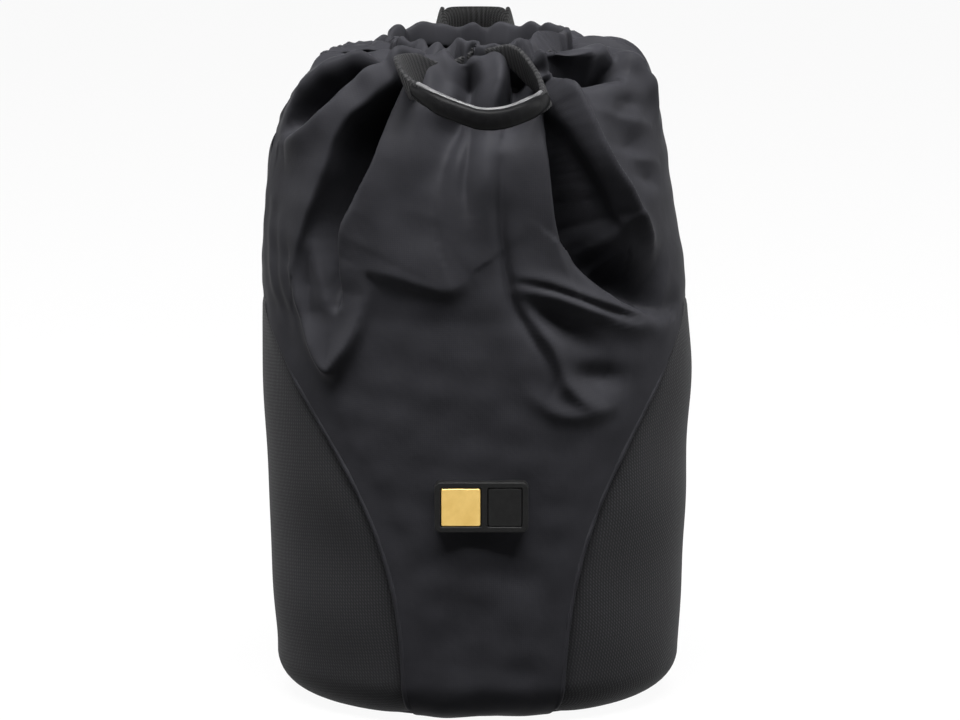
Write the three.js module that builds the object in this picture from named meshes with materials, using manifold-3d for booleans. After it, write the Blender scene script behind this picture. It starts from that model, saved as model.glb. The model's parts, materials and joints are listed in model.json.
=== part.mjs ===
// Drawstring camera pouch: a padded oval bucket whose thin collar is drawn shut at the neck.
// Millimetres, +Z up, front towards -Y, origin at the middle of the base.
import * as THREE from "three";
import { mergeVertices } from "three/addons/utils/BufferGeometryUtils.js";
import Module from "manifold-3d";

const wasm = await Module();
wasm.setup();

// Outline of the pouch: half sizes of its oval plan, and the height of each level
const BASE_HALF_WIDTH = 51.8;
const BASE_HALF_DEPTH = 40;
const BASE_CORNER = 12;
const BELLY_HALF_WIDTH = 55.4;
const BELLY_HALF_DEPTH = 43;
const BELLY_HEIGHT = 92;
const CHEST_HALF_WIDTH = 51.6;
const CHEST_HALF_DEPTH = 38.6;
const CHEST_HEIGHT = 139;
const SHOULDER_HALF_WIDTH = 43.8;
const SHOULDER_HALF_DEPTH = 27.0;
const SHOULDER_HEIGHT = 162.4;
const NECK_HALF_WIDTH = 22;
const NECK_HALF_DEPTH = 18.5;
const NECK_HEIGHT = 168;

// Layers, from the outside in, and the gaps between pieces
const CLOTH = 1;
const FOAM = 5;
const LINING = 0.8;
const CLEARANCE = 0.3;
const JOINT_GAP = 0.5;

// Panels: the twill bucket ends at a level seam, and the front tongue narrows down to the base
const PANEL_TOP = 105;
const TONGUE_BASE_ANGLE = 22.5;
const TONGUE_TOP_ANGLE = 80;
const TONGUE_CURVE = 2.75;
const BACK_SEAM_ANGLE = 38;
const WELT_RADIUS = 0.8;
const BINDING_HEIGHT = 5;

// Main folds that the drawn neck leaves in the collar, and the small puckers at the neck
const RIDGE_HEIGHT = 6;
const VALLEY_DEPTH = 7;
const POCKET_DEPTH = 5.5;
const PLEAT_HEIGHT = 3.4;
const FOLD_SPREAD = 4.5;
const FOLD_FADE = 0.18;
const FOLD_SIDE_ANGLE = 14;
const NECK_PUCKERS = 14;
const NECK_PUCKER_DEPTH = 1.4;

// Folds of the front half: at each end an angle and a share of the collar's rise, then the height
const FRONT_FOLDS = [
  [-53, 0.2, -32, 0.83, RIDGE_HEIGHT],
  [-40, 0.32, -27, 0.74, -VALLEY_DEPTH],
  [-60, 0.61, -40, 0.82, -POCKET_DEPTH],
  [-71, 0.62, -52, 0.9, PLEAT_HEIGHT],
  [-31, 0.36, -18, 0.66, PLEAT_HEIGHT],
  [20, 0.3, 15, 0.6, PLEAT_HEIGHT],
  [31, 0.22, 26, 0.78, -VALLEY_DEPTH],
  [54, 0.27, 32, 0.8, RIDGE_HEIGHT],
  [36, 0.85, 60, 0.85, -POCKET_DEPTH],
  [79, 0.66, 54, 0.96, PLEAT_HEIGHT],
];

// Pleats of the rear half: evenly spaced, each a ridge with a valley beside it
const REAR_PLEATS = 7;
const REAR_FIRST_ANGLE = 112;
const REAR_PITCH_ANGLE = 22.5;
const REAR_WANDER_ANGLE = 3;
const REAR_PLEAT_FOOT = 0.4;
const REAR_PLEAT_TOP = 0.84;

// Base, from the ground up
const BASE_CLOTH = 1.2;
const BOARD = 1.5;
const BASE_FOAM = 4;

// Drawstring and the hem that it runs in
const DRAWSTRING_THICKNESS = 1.4;
const DRAWSTRING_WIDTH = 4.2;
const HEM_CLOTH = 0.9;
const EXIT_WIDTH = 7;
const EXIT_HEIGHT = 2.4;

// Pull loops: a strap, pinched where it leaves the hem and folded inside its grip
const STRAP_WIDTH = 11.5;
const STRAP_THICKNESS = 1.4;
const ROOT_WIDTH = 2.4;
const FLARE = 0.6;
const FOLDED_WIDTH = 4;
const FOLDED_THICKNESS = 2.4;
const GRIP_WALL = 0.8;
const GRIP_HALF_ANGLE = 62;
const FOLD_MARGIN_ANGLE = 2;
const FLARE_ANGLE = 20;
const FRONT_LOOP_HALF_WIDTH = 19;
const FRONT_LOOP_HALF_LENGTH = 16;
const FRONT_LOOP_DROOP = 18;
const REAR_LOOP_HALF_WIDTH = 10.5;
const REAR_LOOP_HALF_LENGTH = 19;
const REAR_LOOP_DROOP = 3;

// Badge on the front tongue: a rubber frame with two plates let into it
const BADGE_WIDTH = 22.8;
const BADGE_HEIGHT = 12.8;
const BADGE_LEVEL = 58.4;
const BADGE_OFFSET = 1.6;
const BADGE_THICKNESS = 1.8;
const BADGE_RIM = 1.3;
const BADGE_RECESS = 0.9;
const GOLD_PLATE_WIDTH = 10.2;

// Belt loop on the back panel
const BELT_LOOP_WIDTH = 24;
const BELT_LOOP_BOTTOM = 30;
const BELT_LOOP_TOP = 96;
const BELT_LOOP_THICKNESS = 1.8;
const BELT_LOOP_SEWN = 9;
const BELT_LOOP_RAMP = 5;
const BELT_ROOM = 7;
const BARTACK_HEIGHT = 2.2;
const BARTACK_THICKNESS = 0.8;
const BARTACK_MARGIN = 2;

// Fineness of the faceted surfaces
const COLLAR_COLUMNS = 44;
const COLLAR_ROWS = 7;
const HEM_COLUMNS = 28;
const TONGUE_COLUMNS = 18;
const SIDE_COLUMNS = 12;
const PAD_COLUMNS = 9;
const WALL_ROWS = 7;
const RING_COLUMNS = 32;
const LOOP_STEPS = 32;
const GRIP_STEPS = 10;
const BADGE_COLUMNS = 6;
const WELT_SIDES = 6;

const QUARTER = Math.PI / 2;
const HALF_TURN = Math.PI;
const rad = THREE.MathUtils.degToRad;
const smooth = (x, from, to) => THREE.MathUtils.smoothstep(x, from, to);

// Colours and finishes
const satin = finish(0x1c1c1f, 0.5);
const twill = finish(0x222224, 0.75);
const lining = finish(0x3a3a3d, 0.8);
const foam = finish(0x2b2b2b, 0.95);
const board = finish(0x303030, 0.7);
const webbing = finish(0x17171a, 0.8);
const gripRubber = finish(0x121214, 0.35);
const badgeRubber = finish(0x151517, 0.55);
const gold = finish(0xd9b44a, 0.35, 0.6);
const thread = finish(0x101012, 0.6);

function finish(color, roughness, metalness = 0) {
  return new THREE.MeshStandardMaterial({ color, roughness, metalness });
}

// The wall's levels run from the edge of the base, round its corner, up to the neck.
// Each level is an oval: x holds its half width, y its half depth and z its height.
const cornerSteps = 4;
const cornerLevels = [];
for (let k = 0; k <= cornerSteps; k++) {
  const turn = (QUARTER * k) / cornerSteps;
  const inset = BASE_CORNER * (1 - Math.sin(turn));
  const height = BASE_CORNER * (1 - Math.cos(turn));
  cornerLevels.push([BASE_HALF_WIDTH - inset, BASE_HALF_DEPTH - inset, height]);
}
const wall = new THREE.CatmullRomCurve3(
  [
    ...cornerLevels,
    [BELLY_HALF_WIDTH, BELLY_HALF_DEPTH, BELLY_HEIGHT],
    [CHEST_HALF_WIDTH, CHEST_HALF_DEPTH, CHEST_HEIGHT],
    [SHOULDER_HALF_WIDTH, SHOULDER_HALF_DEPTH, SHOULDER_HEIGHT],
    [NECK_HALF_WIDTH, NECK_HALF_DEPTH, NECK_HEIGHT],
  ].map((level) => new THREE.Vector3(...level)),
  false,
  "centripetal",
);

// Where along the wall a height lies, found by halving
function levelAt(height) {
  const steps = 40;
  let low = 0;
  let high = 1;
  for (let i = 0; i < steps; i++) {
    const middle = (low + high) / 2;
    if (wall.getPoint(middle).z < height) low = middle;
    else high = middle;
  }
  return (low + high) / 2;
}

const panelTop = levelAt(PANEL_TOP);
const shoulder = levelAt(SHOULDER_HEIGHT);

// The levels that every layer of the wall has a row of corners at, so that the layers stay parallel.
// Above the base's corner, the tulip seam turns by the same angle from each row to the next.
const cornerRows = [cornerLevels[cornerSteps / 2], cornerLevels[cornerSteps]];
const wallLevels = cornerRows.map(([, , height]) => levelAt(height));
for (let k = 1; k < WALL_ROWS; k++) {
  const height = PANEL_TOP * (k / WALL_ROWS) ** (1 / TONGUE_CURVE);
  if (height > BASE_CORNER) wallLevels.push(levelAt(height));
}

function levelsBetween(bottom, top) {
  const margin = 0.01;
  const between = wallLevels.filter((level) => level > bottom + margin && level < top - margin);
  return [bottom, ...between, top];
}

// How far up the collar a level lies, along the mean of its profiles at the front and at the side
function collarRise(level) {
  const steps = 20;
  const meanAt = (share) => {
    const { x, y, z } = wall.getPoint(THREE.MathUtils.lerp(panelTop, level, share));
    return new THREE.Vector2((x + y) / 2, z);
  };
  let rise = 0;
  for (let k = 0; k < steps; k++) rise += meanAt(k / steps).distanceTo(meanAt((k + 1) / steps));
  return rise;
}

const collarLength = collarRise(1);
const folds = [...FRONT_FOLDS];
for (let k = 0; k < REAR_PLEATS; k++) {
  const ridge = REAR_FIRST_ANGLE + REAR_PITCH_ANGLE * k + REAR_WANDER_ANGLE * Math.sin(2 * k);
  const valley = ridge + REAR_PITCH_ANGLE / 2;
  folds.push([ridge, REAR_PLEAT_FOOT, ridge, REAR_PLEAT_TOP, PLEAT_HEIGHT]);
  folds.push([valley, REAR_PLEAT_FOOT, valley, REAR_PLEAT_TOP, -POCKET_DEPTH]);
}

// How far the main folds stand out from the smooth collar: nothing at its sewn and drawn edges
function foldHeight(angle, level) {
  const rise = collarRise(level);
  const share = rise / collarLength;
  const toLength = 1 / angleOf(1, angle, level);
  let height = 0;
  for (const [startAngle, startShare, endAngle, endShare, peak] of folds) {
    const start = new THREE.Vector2((rad(startAngle) - angle) * toLength, startShare * collarLength - rise);
    const end = new THREE.Vector2((rad(endAngle) - angle) * toLength, endShare * collarLength - rise);
    const run = end.sub(start);
    const along = THREE.MathUtils.clamp(-start.dot(run) / run.lengthSq(), 0, 1);
    const gap = start.addScaledVector(run, along).length();
    height += peak * Math.exp(-((gap / FOLD_SPREAD) ** 2));
  }
  const fromSide = Math.asin(Math.abs(Math.cos(angle)));
  const ends = smooth(share, 0, FOLD_FADE) * smooth(1 - share, 0, FOLD_FADE);
  return height * ends * smooth(fromSide, 0, rad(FOLD_SIDE_ANGLE));
}

// How far a pucker stands out sideways at the neck
function puckerDepth(angle, level) {
  return (NECK_PUCKER_DEPTH * smooth(level, shoulder, 1) * (1 + Math.cos(NECK_PUCKERS * angle))) / 2;
}

// A point of the wall: angle 0 is the front, and out is measured along the smooth surface's normal
function wallPoint(angle, level, out, gathered = false) {
  const { x: halfWidth, y: halfDepth, z } = wall.getPoint(level);
  const along = wall.getTangent(level);
  const [s, c] = [Math.sin(angle), Math.cos(angle)];
  const around = new THREE.Vector3(halfWidth * c, halfDepth * s, 0);
  const up = new THREE.Vector3(along.x * s, -along.y * c, along.z);
  const normal = around.clone().cross(up).normalize();
  const point = new THREE.Vector3(halfWidth * s, -halfDepth * c, z).addScaledVector(normal, out);
  if (!gathered) return point;
  const sideways = new THREE.Vector3(halfDepth * s, -halfWidth * c, 0).normalize();
  point.addScaledVector(normal, foldHeight(angle, level));
  return point.addScaledVector(sideways, puckerDepth(angle, level));
}

// The angle that a length takes along the oval at a level
function angleOf(length, angle, level) {
  const { x: halfWidth, y: halfDepth } = wall.getPoint(level);
  return length / Math.hypot(halfWidth * Math.cos(angle), halfDepth * Math.sin(angle));
}

// The tulip seam's angle from the front at a level, from the base up to near the side
function seamAngle(level) {
  const share = THREE.MathUtils.clamp(wall.getPoint(level).z / PANEL_TOP, 0, 1);
  return THREE.MathUtils.lerp(rad(TONGUE_BASE_ANGLE), rad(TONGUE_TOP_ANGLE), share ** TONGUE_CURVE);
}

// The angle that the welt and its gaps take beside the slanting seam
function seamGap(level) {
  const step = 0.002;
  const [below, above] = [Math.max(level - step, 0), Math.min(level + step, 1)];
  const turn = seamAngle(above) - seamAngle(below);
  const climb = wallPoint(0, above, 0).distanceTo(wallPoint(0, below, 0));
  const angle = seamAngle(level);
  const sideways = turn / angleOf(1, angle, level);
  return angleOf(WELT_RADIUS + CLEARANCE, angle, level) * Math.hypot(1, sideways / climb);
}

// A closed body from vertices and triangles
function body(points, triangles) {
  const geometry = new THREE.BufferGeometry().setFromPoints(points);
  geometry.setIndex(triangles);
  geometry.computeVertexNormals();
  return geometry;
}

// A thick sheet between an outer and an inner surface, each a function of two shares from 0 to 1.
// Each patch is split along its shorter diagonal, which keeps the facets close to the surface.
// Folded sheets have all their patches split the same way, which keeps their layers parallel.
function sheet(outerAt, innerAt, columns, rows, closedAround = false, folded = false) {
  const points = [];
  const triangles = [];
  const width = closedAround ? columns : columns + 1;
  for (const surface of [outerAt, innerAt])
    for (let j = 0; j <= rows; j++)
      for (let i = 0; i < width; i++) points.push(surface(i / columns, j / rows));
  const outer = (i, j) => j * width + (i % width);
  const inner = (i, j) => (rows + 1) * width + outer(i, j);
  const quad = (a, b, c, d) => {
    const straight = folded || points[a].distanceTo(points[c]) <= points[b].distanceTo(points[d]);
    triangles.push(...(straight ? [a, b, c, a, c, d] : [a, b, d, b, c, d]));
  };
  for (let i = 0; i < columns; i++) {
    for (let j = 0; j < rows; j++) {
      quad(outer(i, j), outer(i + 1, j), outer(i + 1, j + 1), outer(i, j + 1));
      quad(inner(i, j), inner(i, j + 1), inner(i + 1, j + 1), inner(i + 1, j));
    }
    quad(outer(i, 0), inner(i, 0), inner(i + 1, 0), outer(i + 1, 0));
    quad(outer(i, rows), outer(i + 1, rows), inner(i + 1, rows), inner(i, rows));
  }
  for (let j = 0; j < rows && !closedAround; j++) {
    quad(outer(0, j), outer(0, j + 1), inner(0, j + 1), inner(0, j));
    quad(outer(columns, j), inner(columns, j), inner(columns, j + 1), outer(columns, j + 1));
  }
  return body(points, triangles);
}

// A sheet that lies in the wall between two depths, at a list of levels, with two edges given at each
function wallSheet({ from, to, levels, outside, thickness, columns, gathered, ring }) {
  const rows = levels.length - 1;
  const surface = (out) => (i, j) => {
    const level = levels[Math.round(j * rows)];
    const angle = THREE.MathUtils.lerp(from(level), to(level), i);
    return wallPoint(angle, level, out, gathered);
  };
  return sheet(surface(outside), surface(outside - thickness), columns, rows, ring, gathered);
}

// A body swept through cross-sections: a ring of points at each step, with both ends filled or joined
function sweep(sectionAt, outline, steps, joined = false) {
  const points = [];
  const triangles = [];
  const sides = outline.length;
  const rings = joined ? steps : steps + 1;
  for (let k = 0; k < rings; k++) points.push(...sectionAt(k / steps));
  for (let k = 0; k < steps; k++)
    for (let i = 0; i < sides; i++) {
      const next = ((k + 1) % rings) * sides;
      const [a, b] = [k * sides + i, k * sides + ((i + 1) % sides)];
      const [c, d] = [next + ((i + 1) % sides), next + i];
      triangles.push(a, b, c, a, c, d);
    }
  if (!joined)
    for (const [a, b, c] of THREE.ShapeUtils.triangulateShape(outline, []))
      triangles.push(c, b, a, a + steps * sides, b + steps * sides, c + steps * sides);
  return body(points, triangles);
}

// A geometry as a solid for cutting, and back
function solidOf(geometry) {
  const bare = geometry.clone();
  bare.deleteAttribute("normal");
  bare.deleteAttribute("uv");
  const merged = mergeVertices(bare);
  const vertProperties = merged.getAttribute("position").array;
  return new wasm.Manifold(
    new wasm.Mesh({ numProp: 3, vertProperties, triVerts: new Uint32Array(merged.index.array) }),
  );
}

function cut(geometry, ...tools) {
  const left = tools.reduce((kept, tool) => kept.subtract(solidOf(tool)), solidOf(geometry));
  const { vertProperties, triVerts } = left.getMesh();
  const cutGeometry = new THREE.BufferGeometry();
  cutGeometry.setAttribute("position", new THREE.BufferAttribute(vertProperties, 3));
  cutGeometry.setIndex(new THREE.BufferAttribute(triVerts, 1));
  return cutGeometry;
}

const pouch = new THREE.Group();

function add(name, geometry, material, parent = pouch) {
  const mesh = new THREE.Mesh(geometry, material);
  mesh.name = name;
  parent.add(mesh);
}

// Depths below the wall's surface at which its inner layers start, and the ends of the pads,
// which start half way round the base's corner
const foamOut = -CLOTH - CLEARANCE;
const liningOut = foamOut - FOAM - CLEARANCE;
const padFoot = wallLevels[0];
const padTop = levelAt(PANEL_TOP - BINDING_HEIGHT - CLEARANCE);

// Base: cloth, stiff board, foam and lining, stacked inside the turned-under wall
function addBase() {
  const liningRadius = BASE_CORNER + liningOut - LINING;
  const floorReach = liningRadius * Math.SQRT1_2 - 2 * CLEARANCE;
  const layers = [
    ["base_panel", BASE_CLOTH, twill, -CLEARANCE],
    ["base_board", BOARD, board, -CLEARANCE],
    ["base_foam", BASE_FOAM, foam, floorReach],
    ["base_lining", LINING, lining, floorReach],
  ];
  let height = 0;
  for (const [name, depth, material, reach] of layers) {
    const halfWidth = BASE_HALF_WIDTH - BASE_CORNER + reach;
    const halfDepth = BASE_HALF_DEPTH - BASE_CORNER + reach;
    const oval = new THREE.Shape().absellipse(0, 0, halfWidth, halfDepth, 0, 2 * HALF_TURN);
    const options = { depth, bevelEnabled: false, curveSegments: RING_COLUMNS / 2 };
    const disc = new THREE.ExtrudeGeometry(oval, options).translate(0, 0, height);
    add(name, disc, material);
    height += depth + CLEARANCE;
  }
}

// Outer panels of the bucket: two sides, the back, and the front tongue between the tulip seams
function addPanels() {
  const panel = {
    levels: levelsBetween(levelAt(CLEARANCE), levelAt(PANEL_TOP - CLEARANCE)),
    outside: 0,
    thickness: CLOTH,
    columns: SIDE_COLUMNS,
  };
  const backSeam = HALF_TURN - rad(BACK_SEAM_ANGLE);
  const halfGap = (level) => angleOf(CLEARANCE / 2, backSeam, level);
  const frontEdge = (level) => seamAngle(level) + seamGap(level);
  const tongueEdge = (level) => seamAngle(level) - seamGap(level);
  const sideEdge = (level) => backSeam - halfGap(level);
  const backEdge = (level) => backSeam + halfGap(level);
  const right = wallSheet({ ...panel, from: frontEdge, to: sideEdge });
  const left = wallSheet({ ...panel, from: (l) => -sideEdge(l), to: (l) => -frontEdge(l) });
  const back = wallSheet({ ...panel, from: backEdge, to: (l) => 2 * HALF_TURN - backEdge(l) });
  const tongue = wallSheet({
    ...panel,
    from: (l) => -tongueEdge(l),
    to: tongueEdge,
    columns: TONGUE_COLUMNS,
  });
  add("right_side_panel", right, twill);
  add("left_side_panel", left, twill);
  add("back_panel", back, twill);
  add("front_panel", tongue, satin);
}

// Welts: the rolled edge of the tongue along each tulip seam
function addWelts() {
  const end = WELT_RADIUS + CLEARANCE;
  const levels = levelsBetween(levelAt(end), levelAt(PANEL_TOP - end));
  const steps = levels.length - 1;
  const nudge = 0.002;
  const round = new THREE.Path().absarc(0, 0, WELT_RADIUS, 0, 2 * HALF_TURN);
  const outline = round.getPoints(WELT_SIDES).slice(1);
  for (const [name, side] of [["left_seam_welt", -1], ["right_seam_welt", 1]]) {
    const at = (level, out) => wallPoint(side * seamAngle(level), level, out);
    const roll = (share) => {
      const level = levels[Math.round(share * steps)];
      const centre = at(level, WELT_RADIUS - CLOTH);
      const normal = at(level, 1).sub(at(level, 0));
      const along = at(level + nudge, 0).sub(at(level - nudge, 0)).normalize();
      const across = along.cross(normal);
      return outline.map((p) =>
        centre.clone().addScaledVector(normal, p.x).addScaledVector(across, p.y),
      );
    };
    add(name, sweep(roll, outline, steps), satin);
  }
}

// Padding: four foam pads, the wall lining inside them, and the binding over their top edge
function addPadding() {
  const levels = levelsBetween(padFoot, padTop);
  const pad = { levels, outside: foamOut, thickness: FOAM, columns: PAD_COLUMNS };
  const padNames = ["front_foam", "right_foam", "back_foam", "left_foam"];
  padNames.forEach((name, k) => {
    const middle = k * QUARTER;
    const gap = (edge, level) => angleOf(CLEARANCE, edge, level);
    const from = (level) => middle - QUARTER / 2 + gap(middle - QUARTER / 2, level);
    const to = (level) => middle + QUARTER / 2 - gap(middle + QUARTER / 2, level);
    add(name, wallSheet({ ...pad, from, to }), foam);
  });
  const ring = { from: () => 0, to: () => 2 * HALF_TURN, columns: RING_COLUMNS, ring: true };
  const liningSheet = wallSheet({
    ...ring,
    levels: levels.filter((level, k) => k % 2 === 0 || level === padTop),
    outside: liningOut,
    thickness: LINING,
  });
  add("wall_lining", liningSheet, lining);
  const binding = wallSheet({
    ...ring,
    levels: [levelAt(PANEL_TOP - BINDING_HEIGHT), levelAt(PANEL_TOP - CLEARANCE)],
    outside: foamOut,
    thickness: FOAM + CLEARANCE + LINING,
  });
  add("foam_edge_binding", binding, webbing);
}

// Collar, hem and drawstring of one half of the neck, which meets the other half at the sides
function addCollarHalf(half, middle) {
  const edge = (level) => QUARTER - angleOf(JOINT_GAP / 2, QUARTER, level);
  const from = (level) => middle - edge(level);
  const to = (level) => middle + edge(level);
  const levels = [];
  for (let k = 0; k <= COLLAR_ROWS; k++)
    levels.push(THREE.MathUtils.lerp(panelTop, 1, k / COLLAR_ROWS));
  const collar = { from, to, levels, columns: COLLAR_COLUMNS, gathered: true };
  const cloth = wallSheet({ ...collar, outside: 0, thickness: CLOTH });
  add(half + "_collar", cloth, satin);
  const inside = wallSheet({ ...collar, outside: -CLOTH - CLEARANCE, thickness: LINING });
  add(half + "_collar_lining", inside, lining);
  addHemHalf(half, middle, from(1), to(1));
}

const hemFoot = NECK_HEIGHT + CLEARANCE;
const channelTop = hemFoot + CLEARANCE + DRAWSTRING_WIDTH + CLEARANCE;
const hemTop = channelTop + HEM_CLOTH;
const channelDepth = DRAWSTRING_THICKNESS + 2 * CLEARANCE;
const hemDepth = channelDepth + 2 * HEM_CLOTH;
const exitLevel = (hemFoot + channelTop) / 2;

// A point beside the neck's edge: inset is measured inwards from the gathered cloth
function neckPoint(angle, inset, height) {
  const point = wallPoint(angle, 1, 0, true);
  const sideways = new THREE.Vector3(
    NECK_HALF_DEPTH * Math.sin(angle),
    -NECK_HALF_WIDTH * Math.cos(angle),
    0,
  ).normalize();
  return point.addScaledVector(sideways, -inset).setZ(height);
}

function addHemHalf(half, middle, from, to) {
  const swept = (outline, steps) =>
    sweep(
      (share) => {
        const angle = THREE.MathUtils.lerp(from, to, share);
        return outline.map((p) => neckPoint(angle, p.x, p.y));
      },
      outline,
      steps,
    );
  const folded = [
    [0, hemFoot],
    [HEM_CLOTH, hemFoot],
    [HEM_CLOTH, channelTop],
    [HEM_CLOTH + channelDepth, channelTop],
    [HEM_CLOTH + channelDepth, hemFoot],
    [hemDepth, hemFoot],
    [hemDepth, hemTop],
    [0, hemTop],
  ].map(([inset, height]) => new THREE.Vector2(inset, height));
  const exit = new THREE.BoxGeometry(EXIT_WIDTH, 2 * HEM_CLOTH, EXIT_HEIGHT);
  const mouth = neckPoint(middle, HEM_CLOTH / 2, exitLevel);
  exit.translate(mouth.x, mouth.y, mouth.z);
  add(half + "_hem", cut(swept(folded, HEM_COLUMNS), exit), satin);
  const inset = HEM_CLOTH + CLEARANCE;
  const tape = [
    [inset, hemFoot + CLEARANCE],
    [inset + DRAWSTRING_THICKNESS, hemFoot + CLEARANCE],
    [inset + DRAWSTRING_THICKNESS, hemFoot + CLEARANCE + DRAWSTRING_WIDTH],
    [inset, hemFoot + CLEARANCE + DRAWSTRING_WIDTH],
  ].map(([x, y]) => new THREE.Vector2(x, y));
  add(half + "_drawstring", swept(tape, HEM_COLUMNS), webbing);
}

// Pull loop: an oval of strap in the plane of its group, with its root on the group's X axis
function addPull(half, turn, tilt, halfWidth, halfLength) {
  const mouth = neckPoint(turn, 0, exitLevel);
  const outward = Math.sign(mouth.y) * (ROOT_WIDTH / 2 + CLEARANCE);
  const seat = new THREE.Group();
  seat.position.set(0, mouth.y + outward, exitLevel);
  seat.rotation.z = turn;
  const loop = new THREE.Group();
  loop.rotation.x = tilt;
  seat.add(loop);
  pouch.add(seat);
  const foldEnd = GRIP_HALF_ANGLE + FOLD_MARGIN_ANGLE;
  const sizeAt = (angle) => {
    const fromTip = Math.abs(angle - HALF_TURN);
    const reach = halfLength * (1 - Math.cos(angle));
    const flared = Math.min(ROOT_WIDTH + 2 * FLARE * reach, STRAP_WIDTH);
    const open = smooth(fromTip, rad(foldEnd), rad(foldEnd + FLARE_ANGLE));
    const pinch = 1 - smooth(reach, 0, STRAP_WIDTH / 2);
    const flat = THREE.MathUtils.lerp(FOLDED_THICKNESS, STRAP_THICKNESS, open);
    return {
      width: THREE.MathUtils.lerp(FOLDED_WIDTH, flared, open),
      thickness: THREE.MathUtils.lerp(flat, ROOT_WIDTH, pinch),
    };
  };
  const place = (angle, sideways, lift) => {
    const s = Math.sin(angle);
    const c = Math.cos(angle);
    const normal = new THREE.Vector2(s * halfLength, c * halfWidth).normalize();
    const x = halfWidth * s + normal.x * sideways;
    const y = -halfLength * (1 - c) + normal.y * sideways;
    return new THREE.Vector3(x, y, lift);
  };
  const chamfer = Math.SQRT2 - 1;
  const corners = [
    [1, -chamfer],
    [1, chamfer],
    [chamfer, 1],
    [-chamfer, 1],
    [-1, chamfer],
    [-1, -chamfer],
    [-chamfer, -1],
    [chamfer, -1],
  ];
  const section = (angle, width, thickness) => {
    const edge = Math.min(width, thickness) / 2;
    return corners.map(([across, up]) => {
      const lift = up * edge + Math.sign(up) * (width / 2 - edge);
      const side = across * edge + Math.sign(across) * (thickness / 2 - edge);
      return place(angle, side, lift);
    });
  };
  const outline = corners.map(([x, y]) => new THREE.Vector2(x, y));
  const strap = sweep(
    (share) => {
      const angle = 2 * HALF_TURN * share;
      const { width, thickness } = sizeAt(angle);
      return section(angle, width, thickness);
    },
    outline,
    LOOP_STEPS,
    true,
  );
  add(half + "_pull_strap", strap, webbing, loop);
  const sleeve = (margin) => (i, j) => {
    const angle = HALF_TURN + rad(GRIP_HALF_ANGLE) * (2 * j - 1);
    const ring = section(angle, FOLDED_WIDTH + 2 * margin, FOLDED_THICKNESS + 2 * margin);
    return ring[Math.round(i * corners.length) % corners.length];
  };
  const grip = sheet(
    sleeve(CLEARANCE + GRIP_WALL),
    sleeve(CLEARANCE),
    corners.length,
    GRIP_STEPS,
    true,
  );
  add(half + "_pull_grip", grip, gripRubber, loop);
}

// Badge: plates lie in recesses of a frame that follows the tongue's curve
function addBadge() {
  const block = (x, z, width, height, inside, outside) => {
    const angleAt = (offset, level) => Math.asin(offset / wall.getPoint(level).x);
    return wallSheet({
      from: (level) => angleAt(x - width / 2, level),
      to: (level) => angleAt(x + width / 2, level),
      levels: [levelAt(z - height / 2), levelAt(z), levelAt(z + height / 2)],
      outside,
      thickness: outside - inside,
      columns: BADGE_COLUMNS,
    });
  };
  const [back, face] = [CLEARANCE, CLEARANCE + BADGE_THICKNESS];
  const floor = face - BADGE_RECESS;
  const fieldHeight = BADGE_HEIGHT - 2 * BADGE_RIM;
  const darkWidth = BADGE_WIDTH - 3 * BADGE_RIM - GOLD_PLATE_WIDTH;
  const left = BADGE_OFFSET - BADGE_WIDTH / 2 + BADGE_RIM;
  const goldX = left + GOLD_PLATE_WIDTH / 2;
  const darkX = left + GOLD_PLATE_WIDTH + BADGE_RIM + darkWidth / 2;
  const recess = (x, width) => block(x, BADGE_LEVEL, width, fieldHeight, floor, face + BADGE_RECESS);
  const whole = block(BADGE_OFFSET, BADGE_LEVEL, BADGE_WIDTH, BADGE_HEIGHT, back, face);
  const frame = cut(whole, recess(goldX, GOLD_PLATE_WIDTH), recess(darkX, darkWidth));
  add("badge_frame", frame, badgeRubber);
  const plate = (x, width) =>
    block(
      x,
      BADGE_LEVEL,
      width - 2 * CLEARANCE,
      fieldHeight - 2 * CLEARANCE,
      floor + CLEARANCE,
      face,
    );
  add("badge_gold_plate", plate(goldX, GOLD_PLATE_WIDTH), gold);
  add("badge_dark_plate", plate(darkX, darkWidth), badgeRubber);
}

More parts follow.
